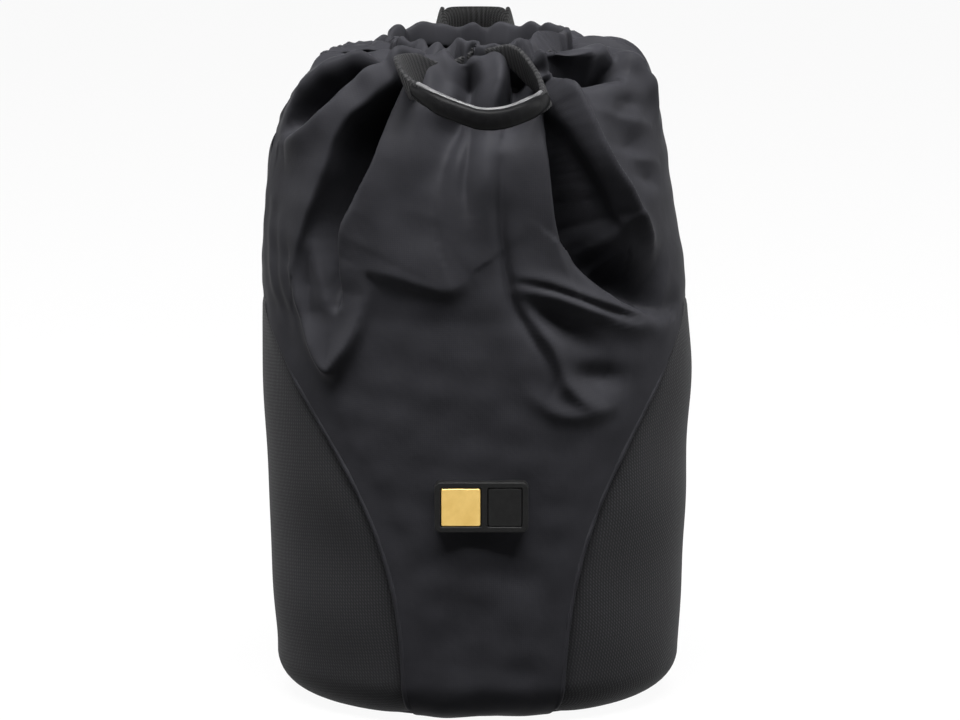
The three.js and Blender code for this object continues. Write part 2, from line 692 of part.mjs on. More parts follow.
// Belt loop: a strap sewn down at both ends, with room for a belt between it and the back panel
function addBeltLoop() {
  const backAt = (z) => wallPoint(HALF_TURN, levelAt(z), 0).y + CLEARANCE;
  const standOff = (z) => {
    const fromEnd = Math.min(z - BELT_LOOP_BOTTOM, BELT_LOOP_TOP - z);
    return BELT_ROOM * smooth(fromEnd, BELT_LOOP_SEWN, BELT_LOOP_SEWN + BELT_LOOP_RAMP);
  };
  const rampEnd = BELT_LOOP_SEWN + BELT_LOOP_RAMP;
  const stops = [0, BELT_LOOP_SEWN, BELT_LOOP_SEWN + BELT_LOOP_RAMP / 2, rampEnd];
  const heights = [
    ...stops.map((stop) => BELT_LOOP_BOTTOM + stop),
    (BELT_LOOP_BOTTOM + BELT_LOOP_TOP) / 2,
    ...stops.map((stop) => BELT_LOOP_TOP - stop).reverse(),
  ];
  const innerEdge = heights.map((z) => new THREE.Vector2(backAt(z) + standOff(z), z));
  const outerEdge = innerEdge.map((p) => new THREE.Vector2(p.x + BELT_LOOP_THICKNESS, p.y));
  const profile = new THREE.Shape([...innerEdge, ...outerEdge.reverse()]);
  const alongX = new THREE.Matrix4().makeBasis(
    new THREE.Vector3(0, 1, 0),
    new THREE.Vector3(0, 0, 1),
    new THREE.Vector3(1, 0, 0),
  );
  const bar = (shape, width) =>
    new THREE.ExtrudeGeometry(shape, { depth: width, bevelEnabled: false })
      .translate(0, 0, -width / 2)
      .applyMatrix4(alongX);
  add("belt_loop", bar(profile, BELT_LOOP_WIDTH), webbing);
  const middle = BELT_LOOP_SEWN / 2;
  const tacks = [
    ["lower_bartack", BELT_LOOP_BOTTOM + middle],
    ["upper_bartack", BELT_LOOP_TOP - middle],
  ];
  for (const [name, z] of tacks) {
    const corner = (dz, out) => {
      const y = backAt(z + dz) + BELT_LOOP_THICKNESS + CLEARANCE + out;
      return new THREE.Vector2(y, z + dz);
    };
    const reach = BARTACK_HEIGHT / 2;
    const shape = new THREE.Shape([
      corner(-reach, 0),
      corner(reach, 0),
      corner(reach, BARTACK_THICKNESS),
      corner(-reach, BARTACK_THICKNESS),
    ]);
    add(name, bar(shape, BELT_LOOP_WIDTH - 2 * BARTACK_MARGIN), thread);
  }
}

addBase();
addPanels();
addWelts();
addPadding();
addCollarHalf("front", 0);
addCollarHalf("rear", HALF_TURN);
addPull("front", 0, rad(FRONT_LOOP_DROOP), FRONT_LOOP_HALF_WIDTH, FRONT_LOOP_HALF_LENGTH);
addPull("rear", HALF_TURN, rad(REAR_LOOP_DROOP), REAR_LOOP_HALF_WIDTH, REAR_LOOP_HALF_LENGTH);
addBadge();
addBeltLoop();

export default pouch;
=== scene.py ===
import json
import math

import bmesh
import bpy
import numpy as np
from mathutils import Matrix, Vector
from mathutils.bvhtree import BVHTree


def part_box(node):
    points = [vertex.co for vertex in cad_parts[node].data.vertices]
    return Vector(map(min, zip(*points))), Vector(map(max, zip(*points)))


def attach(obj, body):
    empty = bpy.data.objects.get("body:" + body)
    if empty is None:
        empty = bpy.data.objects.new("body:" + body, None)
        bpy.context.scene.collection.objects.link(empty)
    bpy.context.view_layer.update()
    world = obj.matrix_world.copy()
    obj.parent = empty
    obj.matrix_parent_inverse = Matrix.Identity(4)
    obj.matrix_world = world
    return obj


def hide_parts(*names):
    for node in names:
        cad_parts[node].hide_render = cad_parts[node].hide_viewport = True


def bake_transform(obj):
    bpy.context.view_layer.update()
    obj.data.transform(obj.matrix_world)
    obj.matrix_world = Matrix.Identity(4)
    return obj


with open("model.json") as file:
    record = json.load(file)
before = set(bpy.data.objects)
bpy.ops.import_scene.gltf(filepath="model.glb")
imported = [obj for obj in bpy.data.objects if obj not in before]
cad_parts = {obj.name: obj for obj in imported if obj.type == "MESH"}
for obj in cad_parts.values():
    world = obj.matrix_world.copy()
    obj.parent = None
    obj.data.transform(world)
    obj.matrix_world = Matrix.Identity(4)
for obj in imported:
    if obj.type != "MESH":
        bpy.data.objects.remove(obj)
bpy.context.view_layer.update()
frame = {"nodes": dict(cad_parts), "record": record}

# Lengths are in millimetres and angles in degrees until a mesh is made
MM = 0.001

# The pouch's wall: half width, half depth and height at each station, from the base corner to the neck
CORNER_HEIGHT = 11
CORNER_WIDTH = 13
CORNER_DEPTH = 10.5
CORNER_STEPS = 13
WALL_STATIONS = (
    (53, 40.8, 11),
    (54, 41.8, 38),
    (55.5, 43, 88),
    (54.2, 42.2, 117),
    (51.2, 38, 141),
    (47.2, 32, 155.5),
    (42.8, 27.5, 164),
    (37.5, 24.5, 168.3),
    (30, 22.2, 169.8),
    (22, 20.3, 168.6),
)

# How far the neck sinks at the front and at the rear, over the last stretch of the wall
NECK_FRONT_DROP = 1.4
NECK_REAR_DROP = 0.4
NECK_DROP_REACH = 30

# How far the wall leans to the right, as (height, lean)
LEAN = ((0, 0.4), (40, 0.6), (100, 0), (140, -1.8), (152, -1), (164, 0.9), (176, 0.6))

# Seams between the satin tongue, the twill sides and the back
PANEL_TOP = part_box("left_side_panel")[1].z / MM
SEAM_FOOT_ANGLE = 22.5
SEAM_TOP_ANGLE = 80
SEAM_POWER = 2.75
TONGUE_TURN = 2
BACK_SEAM_ANGLE = 142
SEAM_DIP = 0.4
SEAM_DIP_SPREAD = 3
SEWN_FADE = 9

# Layers, from the outside in
SATIN_THICKNESS = 0.7
TWILL_THICKNESS = 5.5
PAD_GAP = 2.4
PAD_THICKNESS = 3
LINING_DEPTH = 7.2
COLLAR_LINING_DEPTH = 2.6
LINING_THICKNESS = 0.5

# Small wrinkles, as (height, number of waves, wavelength, seed, spread of their heading in radians)
GATHERS = (0.85, 6, 6.5, 5, 0.15)
BROAD_WRINKLES = (0.35, 8, 26, 3, 1.2)
FINE_WRINKLES = (0.12, 10, 11, 4, 1)
TWILL_SWELL = (0.35, 6, 34, 8, 1.2)
WELT_WANDER = (0.12, 5, 9, 21, 2)
GATHER_RISE = (40, 74)

# Folds of the satin: points (angle from the front, rise above the panel seam), the height of the fold at
# each point (below zero for a valley), how far it spreads to the left or below and to the right or above
# (one value, or one at each point), and its roundness (1 is a sharp crease, 2 a round swell, 3 a trench)
LEFT_EDGE = ((-27, 66), (-30, 61.5), (-36.5, 54.4), (-41, 50), (-43.8, 45),
             (-46.3, 36.7), (-49.8, 27.6), (-53, 19), (-54.6, 12))
FOLDS = (
    ("left_roll", ((-28, 71), (-31, 68), (-37.5, 62), (-42.5, 57), (-46, 52.5), (-50.5, 48),
     (-56, 44.5), (-61.5, 42.5), (-66, 42)), (2.5, 4, 5, 5, 5, 4.5, 4, 2.5, 1),
     (1.5, 1.5, 1.5, 1.6, 1.8, 2, 2.4, 3, 3), 4.5, 1.6),
    ("left_valley_edge", LEFT_EDGE, (1, 2, 2.8, 3.4, 3.8, 3.8, 3.2, 2.2, 0.6), 8, 1.8, 1.5),
    ("left_valley", ((-26.5, 66), (-27, 60), (-28.7, 55), (-31.4, 48), (-32.8, 43), (-34.4, 38),
     (-37.4, 31), (-40.2, 25), (-41.2, 18), (-40, 11), (-38.8, 4)),
     (-5, -9, -12, -14, -14, -13.5, -12.5, -11, -10, -8, -2),
     (1.4, 1.8, 2.6, 4, 4.6, 5, 5.2, 4.6, 3.4, 2.6, 2.2),
     (1.2, 1.5, 2.2, 3.4, 3.8, 3.8, 3.4, 2.8, 2.2, 1.6, 1.4), 2.6),
    ("centre_left_edge", ((-23.5, 66), (-24.3, 58), (-24.6, 48), (-25.5, 41), (-28.5, 35), (-33, 28.5),
     (-37, 22), (-39, 16)), (1, 2, 3, 3.5, 3.5, 3.5, 2.5, 0.6), 1.2, 11, 1.3),
    ("left_pocket", ((-38, 70.5), (-43, 65.5), (-47.5, 60.5), (-52, 56), (-57, 52), (-61.5, 48.5),
     (-66, 46)), (-4, -8, -10, -10, -8, -5, -1.5), 2.8, 2, 2.2),
    ("left_pocket_rim", ((-42, 73), (-50, 67), (-57, 63), (-64, 57), (-68, 50), (-70.5, 43)),
     (1.5, 3, 3.6, 3.2, 2.2, 0.6), 5, 2.6, 1.8),
    ("upper_left_pocket", ((-42, 75), (-54, 73.5), (-66, 72.5), (-78, 71)), (-3, -6.5, -6, -2), 3, 3.5,
     2),
    ("left_edge_crease", ((-50, 14), (-50.5, 7), (-49, 0), (-47, -7)), (-0.6, -2, -2, -0.4), 1.6, 2.6,
     1.4),
    ("left_hanging_fold", ((-56, 11), (-51, 0), (-42, -13), (-36, -9), (-31, -1), (-29, 7)),
     (1.2, 2.4, 3, 2.8, 2.2, 0.6), 1.8, 3.2, 1.6),
    ("left_ripple", ((-64, 22), (-61, 8), (-55, -4)), (0.4, 0.9, 0.3), 2.2, 2.2, 2),
    ("outer_left_ripple", ((-72, 26), (-69, 10), (-63, -2)), (0.4, 0.9, 0.3), 2.4, 2.4, 2),
    ("neck_left_valley", ((-4, 70), (-3, 62), (-3, 53)), (-1.5, -8, -3), 3.4, 2.2, 1.7),
    ("neck_centre_ridge", ((8, 73), (7, 61), (5, 51)), (2, 3.5, 1.5), 2.6, 3, 2),
    ("neck_right_valley", ((18, 72), (15, 66), (12.5, 58), (10.5, 51)), (-5, -12, -10, -2), 2.4, 4.5,
     2.2),
    ("centre_crease", ((0, 50), (0, 42), (-1, 33), (0, 26)), (-1, -2.6, -2.2, -0.3), 1.8, 2.4, 1.4),
    ("grip_hollow", ((-16, 49), (-9, 49), (-3, 49.5), (4, 50.5), (12, 50), (18, 49)),
     (-0.8, -2.8, -3.2, -2.4, -2, -0.6), 5, 5, 2),
    ("centre_hollow", ((-4.5, 54), (-5.2, 49), (-6.3, 43), (-8, 38), (-10.3, 32), (-12, 27)),
     (-1, -3, -3.6, -2.6, -1.2, -0.2), (3, 4, 4.6, 5.4, 6, 6), (2.4, 2.4, 2.6, 3, 4, 5), 2),
    ("centre_ridge", ((5, 48), (5, 36), (5, 26), (5, 17)), (1.8, 2.2, 1.6, 0.3), 3.5, 4, 1.8),
    ("centre_left_ridge", ((-17, 52), (-18, 40), (-20, 28), (-22, 16)), (1, 1.4, 1.2, 0.4), 6, 6, 2),
    ("right_crease", ((9, 40), (8.8, 30), (8.8, 20), (10, 8.3), (11.3, 3.6), (14.3, -2), (18.3, -7.8),
     (21.3, -13.6), (20.7, -17.2), (19, -19)),
     (-0.6, -1.8, -2.4, -2.8, -2.4, -1.8, -1.4, -1, -0.5, -0.1), 1.4, 1.5, 1.4),
    ("right_lip", ((12, 5), (16, -0.3), (19.7, -6), (22, -12.5), (24.5, -17), (29, -20.8), (36, -23.5)),
     (0.6, 1.6, 2, 2, 2, 1.6, 0.4), 1.6, 2.8, 1.6),
    ("front_brow", ((-30, 6), (-29, 12.5), (-23.3, 12.4), (-17.7, 11.3), (-12.3, 9.9), (-6, 9),
     (-1, 12)), (0.6, 1.6, 2.4, 2.6, 2.4, 1.8, 0.6), 2.6, 11, 1.8),
    ("right_valley", ((26, 68), (25.4, 58), (25.6, 48), (26.4, 38), (27, 29), (29, 21), (33, 14.5),
     (40, 9)), (-4, -8, -11.5, -14, -15.5, -15, -11, -4), 2, (2.2, 3, 5, 7.5, 9.5, 10.5, 9, 7), 2.2),
    ("right_foot_hollow", ((31, 15), (38, 10), (46, 5), (55, 1.2), (62, -1)), (-3, -8, -9.5, -8, -1.5),
     1.8, 8, 1.8),
    ("centre_right_edge", ((20.5, 64), (21, 54), (22.4, 43.4), (22.8, 34.5), (22.8, 25), (24, 17),
     (26.5, 11)), (0.5, 1.5, 3, 3.2, 2.6, 1.5, 0.4), 9, 1.2, 1.3),
    ("right_main_ridge", ((30, 73), (29, 66), (31.5, 60), (37, 51), (43, 41), (48.5, 32.5), (53, 24.5),
     (58, 16.5)), (3, 6, 7, 8, 8, 7, 5, 1), 3, (1.8, 1.8, 2, 2.2, 2.2, 2.2, 2.4, 2.6), 1.5),
    ("right_roll_crease", ((36, 58), (42, 48), (49, 37), (54, 28), (56.5, 21.5)),
     (-0.4, -1.4, -1.8, -1.6, -0.4), 1.2, 3, 1.4),
    ("right_pocket", ((33, 66), (40, 67.5), (48, 68), (56, 68), (64, 67), (69, 65)),
     (-7, -14, -16, -14, -7, -1.5), 6, 4.2, 3),
    ("right_shoulder_sag", ((66, 73), (78, 72), (92, 72), (106, 73)), (-0.6, -1.8, -1.8, -0.4), 6, 6,
     2),
    ("left_shoulder_swell", ((-74, 70), (-86, 70), (-98, 71), (-108, 72)), (0.4, 1.4, 1.4, 0.4), 6, 6,
     2),
    ("rear_pinch", ((167, 78), (180, 77), (193, 78)), (-1, -4, -1), 5, 5, 2),
    ("upper_right_pleat", ((46, 77), (56, 75), (66, 71), (73, 64), (78, 55), (82, 46)),
     (1.5, 3.5, 4, 3.5, 2, 0.5), 3.5, 3.5, 1.8),
    ("right_wrinkle_a", ((41, 53), (53.7, 49.6), (69, 46.7)), (0.3, 1, 0.3), 2.4, 1.6, 1.6),
    ("right_wrinkle_b", ((50, 55), (58, 53.8), (66, 52.4)), (-0.2, -0.9, -0.2), 1.8, 2.2, 1.6),
    ("right_wrinkle_c", ((48, 41.8), (59, 38.7), (70, 37)), (0.3, 1, 0.3), 2.2, 1.6, 1.6),
    ("right_wrinkle_d", ((56, 35), (63, 32.6), (71, 30.5)), (-0.2, -0.9, -0.2), 1.8, 2.2, 1.6),
    ("right_soft_hollow", ((52, 50), (56, 42), (62, 34)), (-1, -2, -0.6), 4, 4, 2),
    ("cross_ridge", ((12, 8.3), (21, 6.6), (32.3, 2.2), (45.3, -2.2), (54, -3.3)),
     (0.6, 2, 2.6, 2, 0.6), 2.6, 1.6, 1.6),
    ("upper_cross_ridge", ((11.3, 11.8), (20.3, 10.2), (32.3, 5.4), (47, 0.6), (57.3, -1.2)),
     (0.4, 1.4, 2, 1.6, 0.4), 1.4, 2, 1.6),
    ("cross_crease", ((13, 10.2), (25, 7), (39, 1.8), (49, -0.9)), (-0.3, -1, -1, -0.2), 0.9, 0.9, 1.6),
    ("cross_hollow", ((13.7, 5.2), (19.7, 2.2), (25, -2), (30, -5), (36, -8)),
     (-0.8, -2.4, -2.6, -1.6, -0.3), 3.4, 2.8, 1.8),
    ("right_dimple", ((26, -13.3), (31, -14.3), (37, -15.2), (44, -16.3)), (-0.6, -2, -2.2, -0.5), 3, 3,
     1.8),
    ("lower_fold", ((14.3, -18.5), (20.3, -22.7), (26.3, -24.1), (32, -24.1), (38, -23.2)),
     (0.4, 1.5, 1.6, 1.4, 0.4), 2.2, 2.6, 1.7),
)

# Rims of cloth that lap over the hollow beside them, written like the folds, with the push's direction last:
# level with the ground, 0 is outward, 90 is to the right and -90 to the left round the wall
LAPS = (
    ("left_brim", ((-42, 72), (-49, 66), (-55, 61.5), (-61, 56.5), (-66, 50.5)),
     (0.8, 2.4, 3, 2.4, 0.6), 4, 2.2, 1.8, 0),
    ("right_brim", ((34, 75), (41, 75), (48, 74.5), (56, 73.5), (63, 72), (69, 68.5)),
     (2, 5, 6.5, 6.5, 4.5, 0.8), 1.6, 3, 1.8, 0),
    ("left_roll_lap", LEFT_EDGE, (0.4, 1.8, 3.4, 4.2, 4.4, 4.2, 3.2, 1.6, 0.2), 6.5, 2.4, 1.7, 90),
    ("right_roll_lap", ((25, 65.5), (29.2, 55.8), (36.2, 46.4), (42.6, 36.7), (47.4, 26.5),
     (49.2, 18.8)), (0.6, 3, 4.2, 4.4, 3.4, 0.6), 2.4, 6, 1.7, -90),
)
LAP_FADE = 4

# Pleats round the back of the collar: a ridge and a valley each, as (height, spread), through these rises
REAR_PLEATS = 7
REAR_FIRST_ANGLE = 112
REAR_PITCH_ANGLE = 22.5
REAR_WANDER_ANGLE = 3
REAR_DRIFT_ANGLE = 2.5
REAR_RIDGE = (3.6, 5)
REAR_VALLEY = (-5.4, 4.4)
REAR_RISES = (74, 62, 44)
REAR_FOOT = 24
REAR_FOOT_SWING = 7
REAR_ROUNDNESS = 1.7

# The share of the folds that is left at the neck, and how far below it they are whole
NECK_FOLD_SHARE = 0.45
NECK_FADE = 9

# Mesh density
FRONT_COLUMNS = 240
REAR_COLUMNS = 150
TONGUE_ROWS = 100
COLLAR_ROWS = 112
WELD_DISTANCE = 0.001


# Wall surface

def smoothstep(value, start, end):
    t = np.clip((value - start) / (end - start), 0, 1)
    return t * t * (3 - 2 * t)


def unit(vectors):
    return vectors / np.linalg.norm(vectors, axis=-1, keepdims=True)


def length_along(points):
    return np.concatenate([[0], np.cumsum(np.linalg.norm(np.diff(points, axis=0), axis=1))])


def spline(points, steps=24):
    """A smooth curve through the points, as a dense polyline."""
    knots = np.array(points, float)
    ends = np.vstack([2 * knots[0] - knots[1], knots, 2 * knots[-1] - knots[-2]])
    t = np.linspace(0, 1, steps, endpoint=False)[:, None]
    pieces = []
    for a, b, c, d in zip(ends, ends[1:], ends[2:], ends[3:]):
        pieces.append(0.5 * (2 * b + (c - a) * t + (2 * a - 5 * b + 4 * c - d) * t ** 2
                             + (3 * b - a - 3 * c + d) * t ** 3))
    return np.vstack(pieces + [knots[-1:]])


def wall_profile():
    """Half width, half depth and height along the wall, and the length along it."""
    foot_width, foot_depth, _ = WALL_STATIONS[0]
    turn = np.linspace(0, math.pi / 2, CORNER_STEPS, endpoint=False)
    inset = 1 - np.sin(turn)
    arc = np.column_stack([foot_width - CORNER_WIDTH * inset, foot_depth - CORNER_DEPTH * inset,
                           CORNER_HEIGHT * (1 - np.cos(turn))])
    curve = np.vstack([arc, spline(WALL_STATIONS)])
    mean_radius = (curve[:, 0] + curve[:, 1]) / 2
    steps = np.hypot(np.diff(mean_radius), np.diff(curve[:, 2]))
    return curve, np.concatenate([[0], np.cumsum(steps)])


PROFILE, PROFILE_LENGTH = wall_profile()
PROFILE_SLOPE = np.gradient(PROFILE, PROFILE_LENGTH, axis=0)
NECK_LEVEL = PROFILE_LENGTH[-1]
CREST = int(np.argmax(PROFILE[:, 2]))
LEAN_CURVE = spline(LEAN)


def level_at(height):
    """Length along the wall up to a height below its crest."""
    return float(np.interp(height, PROFILE[:CREST, 2], PROFILE_LENGTH[:CREST]))


PANEL_LEVEL = level_at(PANEL_TOP)


def along_profile(level, table):
    return np.stack([np.interp(level, PROFILE_LENGTH, table[:, i]) for i in range(3)], -1)


def wall(angle, level, offset=0):
    """Points of the smooth wall at angles (radians from the front) and levels, moved out by the offset."""
    size = along_profile(level, PROFILE)
    slope = along_profile(level, PROFILE_SLOPE)
    sine, cosine = np.sin(angle), np.cos(angle)
    lean = np.interp(size[..., 2], LEAN_CURVE[:, 0], LEAN_CURVE[:, 1])
    drop = np.where(cosine > 0, NECK_FRONT_DROP, NECK_REAR_DROP) * np.abs(cosine)
    drop = drop * smoothstep(level, NECK_LEVEL - NECK_DROP_REACH, NECK_LEVEL)
    point = np.stack([size[..., 0] * sine + lean, -size[..., 1] * cosine, size[..., 2] - drop], -1)
    around = np.stack([size[..., 0] * cosine, size[..., 1] * sine, np.zeros_like(sine)], -1)
    up = np.stack([slope[..., 0] * sine, -slope[..., 1] * cosine, slope[..., 2]], -1)
    normal = unit(np.cross(around, up))
    return point + normal * np.asarray(offset)[..., None]


def stretch(angle, level):
    """Millimetres round the wall for each radian."""
    size = along_profile(level, PROFILE)
    return np.hypot(size[..., 0] * np.cos(angle), size[..., 1] * np.sin(angle))


def seam_angle(level, side):
    """Angle of the tongue's seam on the right (side 1) or left (side -1) at each level, in radians."""
    height = np.clip(np.interp(level, PROFILE_LENGTH, PROFILE[:, 2]) / PANEL_TOP, 0, 1)
    spread = SEAM_FOOT_ANGLE + (SEAM_TOP_ANGLE - SEAM_FOOT_ANGLE) * height ** SEAM_POWER
    return np.radians(side * spread + TONGUE_TURN * (1 - height ** SEAM_POWER))


# Folds and wrinkles

def rear_folds():
    """Pleats round the back of the collar, each a ridge with a valley beside it."""
    folds = []
    for i in range(REAR_PLEATS):
        first = REAR_FIRST_ANGLE + REAR_PITCH_ANGLE * i + REAR_WANDER_ANGLE * math.sin(2 * i)
        drift = REAR_DRIFT_ANGLE * math.sin(1.7 * i)
        rises = (*REAR_RISES, REAR_FOOT - REAR_FOOT_SWING * math.sin(1.3 * i))
        for angle, (height, spread) in ((first, REAR_RIDGE), (first + REAR_PITCH_ANGLE / 2, REAR_VALLEY)):
            points = [(angle + drift * step / 2, rise) for step, rise in enumerate(rises)]
            heights = (0.5 * height, height, 0.9 * height, 0)
            folds.append((f"rear_{i}", points, heights, spread, spread, REAR_ROUNDNESS))
    return folds


def spread_along(values, points, count):
    """One value, or one at each point of a path, at every step along the path."""
    values = np.broadcast_to(values, points)
    return np.interp(np.linspace(0, 1, count), np.linspace(0, 1, points), values)


def fold_offset(angle, level, folds):
    """How far the folds push the satin out at each angle and level."""
    total = np.zeros_like(angle)
    rise = level - PANEL_LEVEL
    scale = stretch(angle, level)
    turned = np.degrees(angle) % 360
    for _, points, heights, left, right, roundness in folds:
        path = spline(points, 10)
        high, wide_left, wide_right = (spread_along(values, len(points), len(path))
                                       for values in (heights, left, right))
        nearest = np.full(angle.shape, np.inf)
        added = np.zeros_like(angle)
        for i, (a, b) in enumerate(zip(path, path[1:])):
            x = np.radians((turned - a[0] + 180) % 360 - 180) * scale
            y = rise - a[1]
            run = np.radians(b[0] - a[0]) * scale
            climb = b[1] - a[1]
            t = np.clip((x * run + y * climb) / (run ** 2 + climb ** 2 + 1e-9), 0, 1)
            gap = np.hypot(x - t * run, y - t * climb)
            spread = np.where(run * y > climb * x, wide_right[i], wide_left[i])
            height = high[i] + (high[i + 1] - high[i]) * t
            added = np.where(gap < nearest, height * np.exp(-((gap / spread) ** roundness)), added)
            nearest = np.minimum(gap, nearest)
        total += added
    return total


def ripples(angle, level, height, count, wave, seed, spread):
    """Small wrinkles of about the given height and wavelength, as a sum of seeded waves."""
    draw = np.random.default_rng(seed)
    x = angle * stretch(angle, level)
    total = np.zeros_like(angle)
    for _ in range(count):
        number = 2 * math.pi / (wave * draw.uniform(0.7, 1.5))
        heading = draw.normal(0, spread)
        phase = draw.uniform(0, 2 * math.pi)
        total += np.sin(number * (x * math.cos(heading) + level * math.sin(heading)) + phase)
    return height * total / math.sqrt(count)


def satin_offset(angle, level):
    """How far the satin stands out from the smooth wall."""
    rise = level - PANEL_LEVEL
    share = NECK_FOLD_SHARE + (1 - NECK_FOLD_SHARE) * smoothstep(NECK_LEVEL - level, 0, NECK_FADE)
    gathers = smoothstep(rise, *GATHER_RISE) * ripples(angle, level, *GATHERS)
    soft = ripples(angle, level, *BROAD_WRINKLES) + ripples(angle, level, *FINE_WRINKLES)
    folds = fold_offset(angle, level, list(FOLDS) + rear_folds())
    dip = SEAM_DIP * np.exp(-(rise / SEAM_DIP_SPREAD) ** 2)
    return (folds * share + gathers + soft) * edge_fade(angle, level) - dip


def satin_points(angle, level, share=1):
    """Points of the folded satin; a share below 1 flattens its folds, though not its laps."""
    points = wall(angle, level, satin_offset(angle, level) * share)
    for *fold, heading in LAPS:
        facing = angle + math.radians(heading)
        push = fold_offset(angle, level, [fold]) * smoothstep(NECK_LEVEL - level, 0, LAP_FADE)
        points += np.stack([np.sin(facing), -np.cos(facing), np.zeros_like(angle)], -1) * push[..., None]
    return points


def edge_fade(angle, level):
    """0 along the sewn edges of the satin, 1 away from them."""
    turned = (angle + math.pi) % (2 * math.pi) - math.pi
    inside = np.minimum(seam_angle(level, 1) - turned, turned - seam_angle(level, -1))
    beside = smoothstep(inside * stretch(angle, level), 0, SEWN_FADE)
    above = smoothstep(level - PANEL_LEVEL, 0, SEWN_FADE)
    return np.where(level < PANEL_LEVEL, beside, np.maximum(above, beside))


# Mesh making

def add_object(name, data):
    obj = bpy.data.objects.new(name, data)
    bpy.context.collection.objects.link(obj)
    return obj


def new_object(name, points, faces, uvs=None):
    mesh = bpy.data.meshes.new(name)
    mesh.from_pydata((np.asarray(points, float) * MM).tolist(), [], [list(map(int, f)) for f in faces])
    mesh.polygons.foreach_set("use_smooth", [True] * len(mesh.polygons))
    if uvs is not None:
        layer = mesh.uv_layers.new(name="UVMap")
        corner = np.empty(len(mesh.loops), int)
        mesh.loops.foreach_get("vertex_index", corner)
        layer.data.foreach_set("uv", (np.asarray(uvs, float)[corner] * MM).ravel())
    mesh.validate()
    return add_object(name, mesh)


def grid_faces(rows, columns, start=0, closed=False):
    """Quads of a grid of points, in row order; closed joins its last column to its first."""
    faces = []
    for r in range(rows - 1):
        for c in range(columns if closed else columns - 1):
            d = (c + 1) % columns
            low, high = start + r * columns, start + (r + 1) * columns
            faces.append((low + c, low + d, high + d, high + c))
    return faces


def grid_piece(name, grid, thickness, uvs=None, closed=False):
    """A sheet through a grid of points, with its thickness inside it."""
    rows, columns = grid.shape[:2]
    faces = grid_faces(rows, columns, 0, closed)
    uvs = None if uvs is None else uvs.reshape(-1, 2)
    return thicken(weld(new_object(name, grid.reshape(-1, 3), faces, uvs)), thickness)


def strip_grid(levels, start, end, share):
    """Angles and levels of a grid from one edge to another, at each share of the way between them."""
    start, end = (np.broadcast_to(edge, len(levels))[:, None] for edge in (start, end))
    return start + (end - start) * share[None, :], np.repeat(levels[:, None], len(share), 1)


def evaluated_mesh(obj):
    return bpy.data.meshes.new_from_object(obj.evaluated_get(bpy.context.evaluated_depsgraph_get()))


def thicken(obj, thickness):
    """Gives a sheet its thickness, inwards from its outer face."""
    solid = obj.modifiers.new("thickness", "SOLIDIFY")
    solid.thickness = thickness * MM
    solid.offset = -1
    solid.use_even_offset = False
    sheet, made = obj.data, evaluated_mesh(obj)
    obj.modifiers.clear()
    obj.data = made
    bpy.data.meshes.remove(sheet)
    return obj


def weld(obj):
    work = bmesh.new()
    work.from_mesh(obj.data)
    bmesh.ops.remove_doubles(work, verts=work.verts, dist=WELD_DISTANCE * MM)
    bmesh.ops.recalc_face_normals(work, faces=work.faces)
    work.to_mesh(obj.data)
    work.free()
    return obj


def section(count, power):
    """A rounded rectangle of half sizes 1 by 1, as points round it."""
    turn = np.linspace(0, 2 * math.pi, count, endpoint=False)
    c, s = np.cos(turn), np.sin(turn)
    return np.column_stack([np.sign(c) * np.abs(c) ** power, np.sign(s) * np.abs(s) ** power])


def sweep(name, centre, across, out, width, thick, outline, closed=False, shift=0):
    """A strip along the centre points; its width lies along across and its thickness along out.

    shift moves each point of the surface further along out."""
    n, m = len(centre), len(outline)
    width = np.broadcast_to(width, n)[:, None, None] / 2
    thick = np.broadcast_to(thick, n)[:, None, None] / 2
    x = outline[None, :, 0, None] * width
    y = outline[None, :, 1, None] * thick + np.broadcast_to(shift, (n, m))[..., None]
    points = centre[:, None, :] + x * across[:, None, :] + y * out[:, None, :]
    uvs = np.stack([x[..., 0], np.repeat(length_along(centre)[:, None], m, 1)], -1)
    faces = grid_faces(n, m, 0, True)
    last = (n - 1) * m
    if closed:
        faces += [(last + c, last + (c + 1) % m, (c + 1) % m, c) for c in range(m)]
    else:
        faces += [tuple(range(m))[::-1], tuple(range(last, last + m))]
    return weld(new_object(name, points.reshape(-1, 3), faces, uvs.reshape(-1, 2)))


def box_mm(name):
    """The lowest and highest corner of a CAD node."""
    return [np.array(corner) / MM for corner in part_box(name)]


def dress(obj, material, slot, *nodes):
    """Gives a piece its material and says which CAD nodes it is shown in place of."""
    obj.data.materials.clear()
    obj.data.materials.append(material)
    if nodes:
        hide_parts(*nodes)
    return obj


def across_mouth(obj):
    """Bakes a piece's placement into its mesh."""
    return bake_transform(obj)


# Materials, with the pitch of their threads in metres

SATIN_PITCH = 0.0005
TWILL_RIB_PITCH = 0.0009
TWILL_CROSS_PITCH = 0.0008
WEBBING_SLANT_PITCH = 0.0008


def node(tree, kind, values=None, **settings):
    made = tree.nodes.new(kind)
    for key, value in settings.items():
        setattr(made, key, value)
    for key, value in (values or {}).items():
        made.inputs[key].default_value = value
    return made


def link(source, socket):
    source.id_data.links.new(source, socket)


def math_node(operation, first, second):
    made = node(first.id_data, "ShaderNodeMath", operation=operation)
    for socket, value in zip(made.inputs, (first, second)):
        if isinstance(value, (int, float)):
            socket.default_value = value
        else:
            link(value, socket)
    return made.outputs[0]


def ramp(source, low, high, start, end):
    """A colour that runs from low to high as the source goes from start to end."""
    made = node(source.id_data, "ShaderNodeValToRGB")
    first, last = made.color_ramp.elements
    first.position, first.color = start, (*low, 1)
    last.position, last.color = end, (*high, 1)
    link(source, made.inputs[0])
    return made.outputs[0]


def span(source, low, high):
    made = node(source.id_data, "ShaderNodeMapRange", {"To Min": low, "To Max": high})
    link(source, made.inputs[0])
    return made.outputs[0]


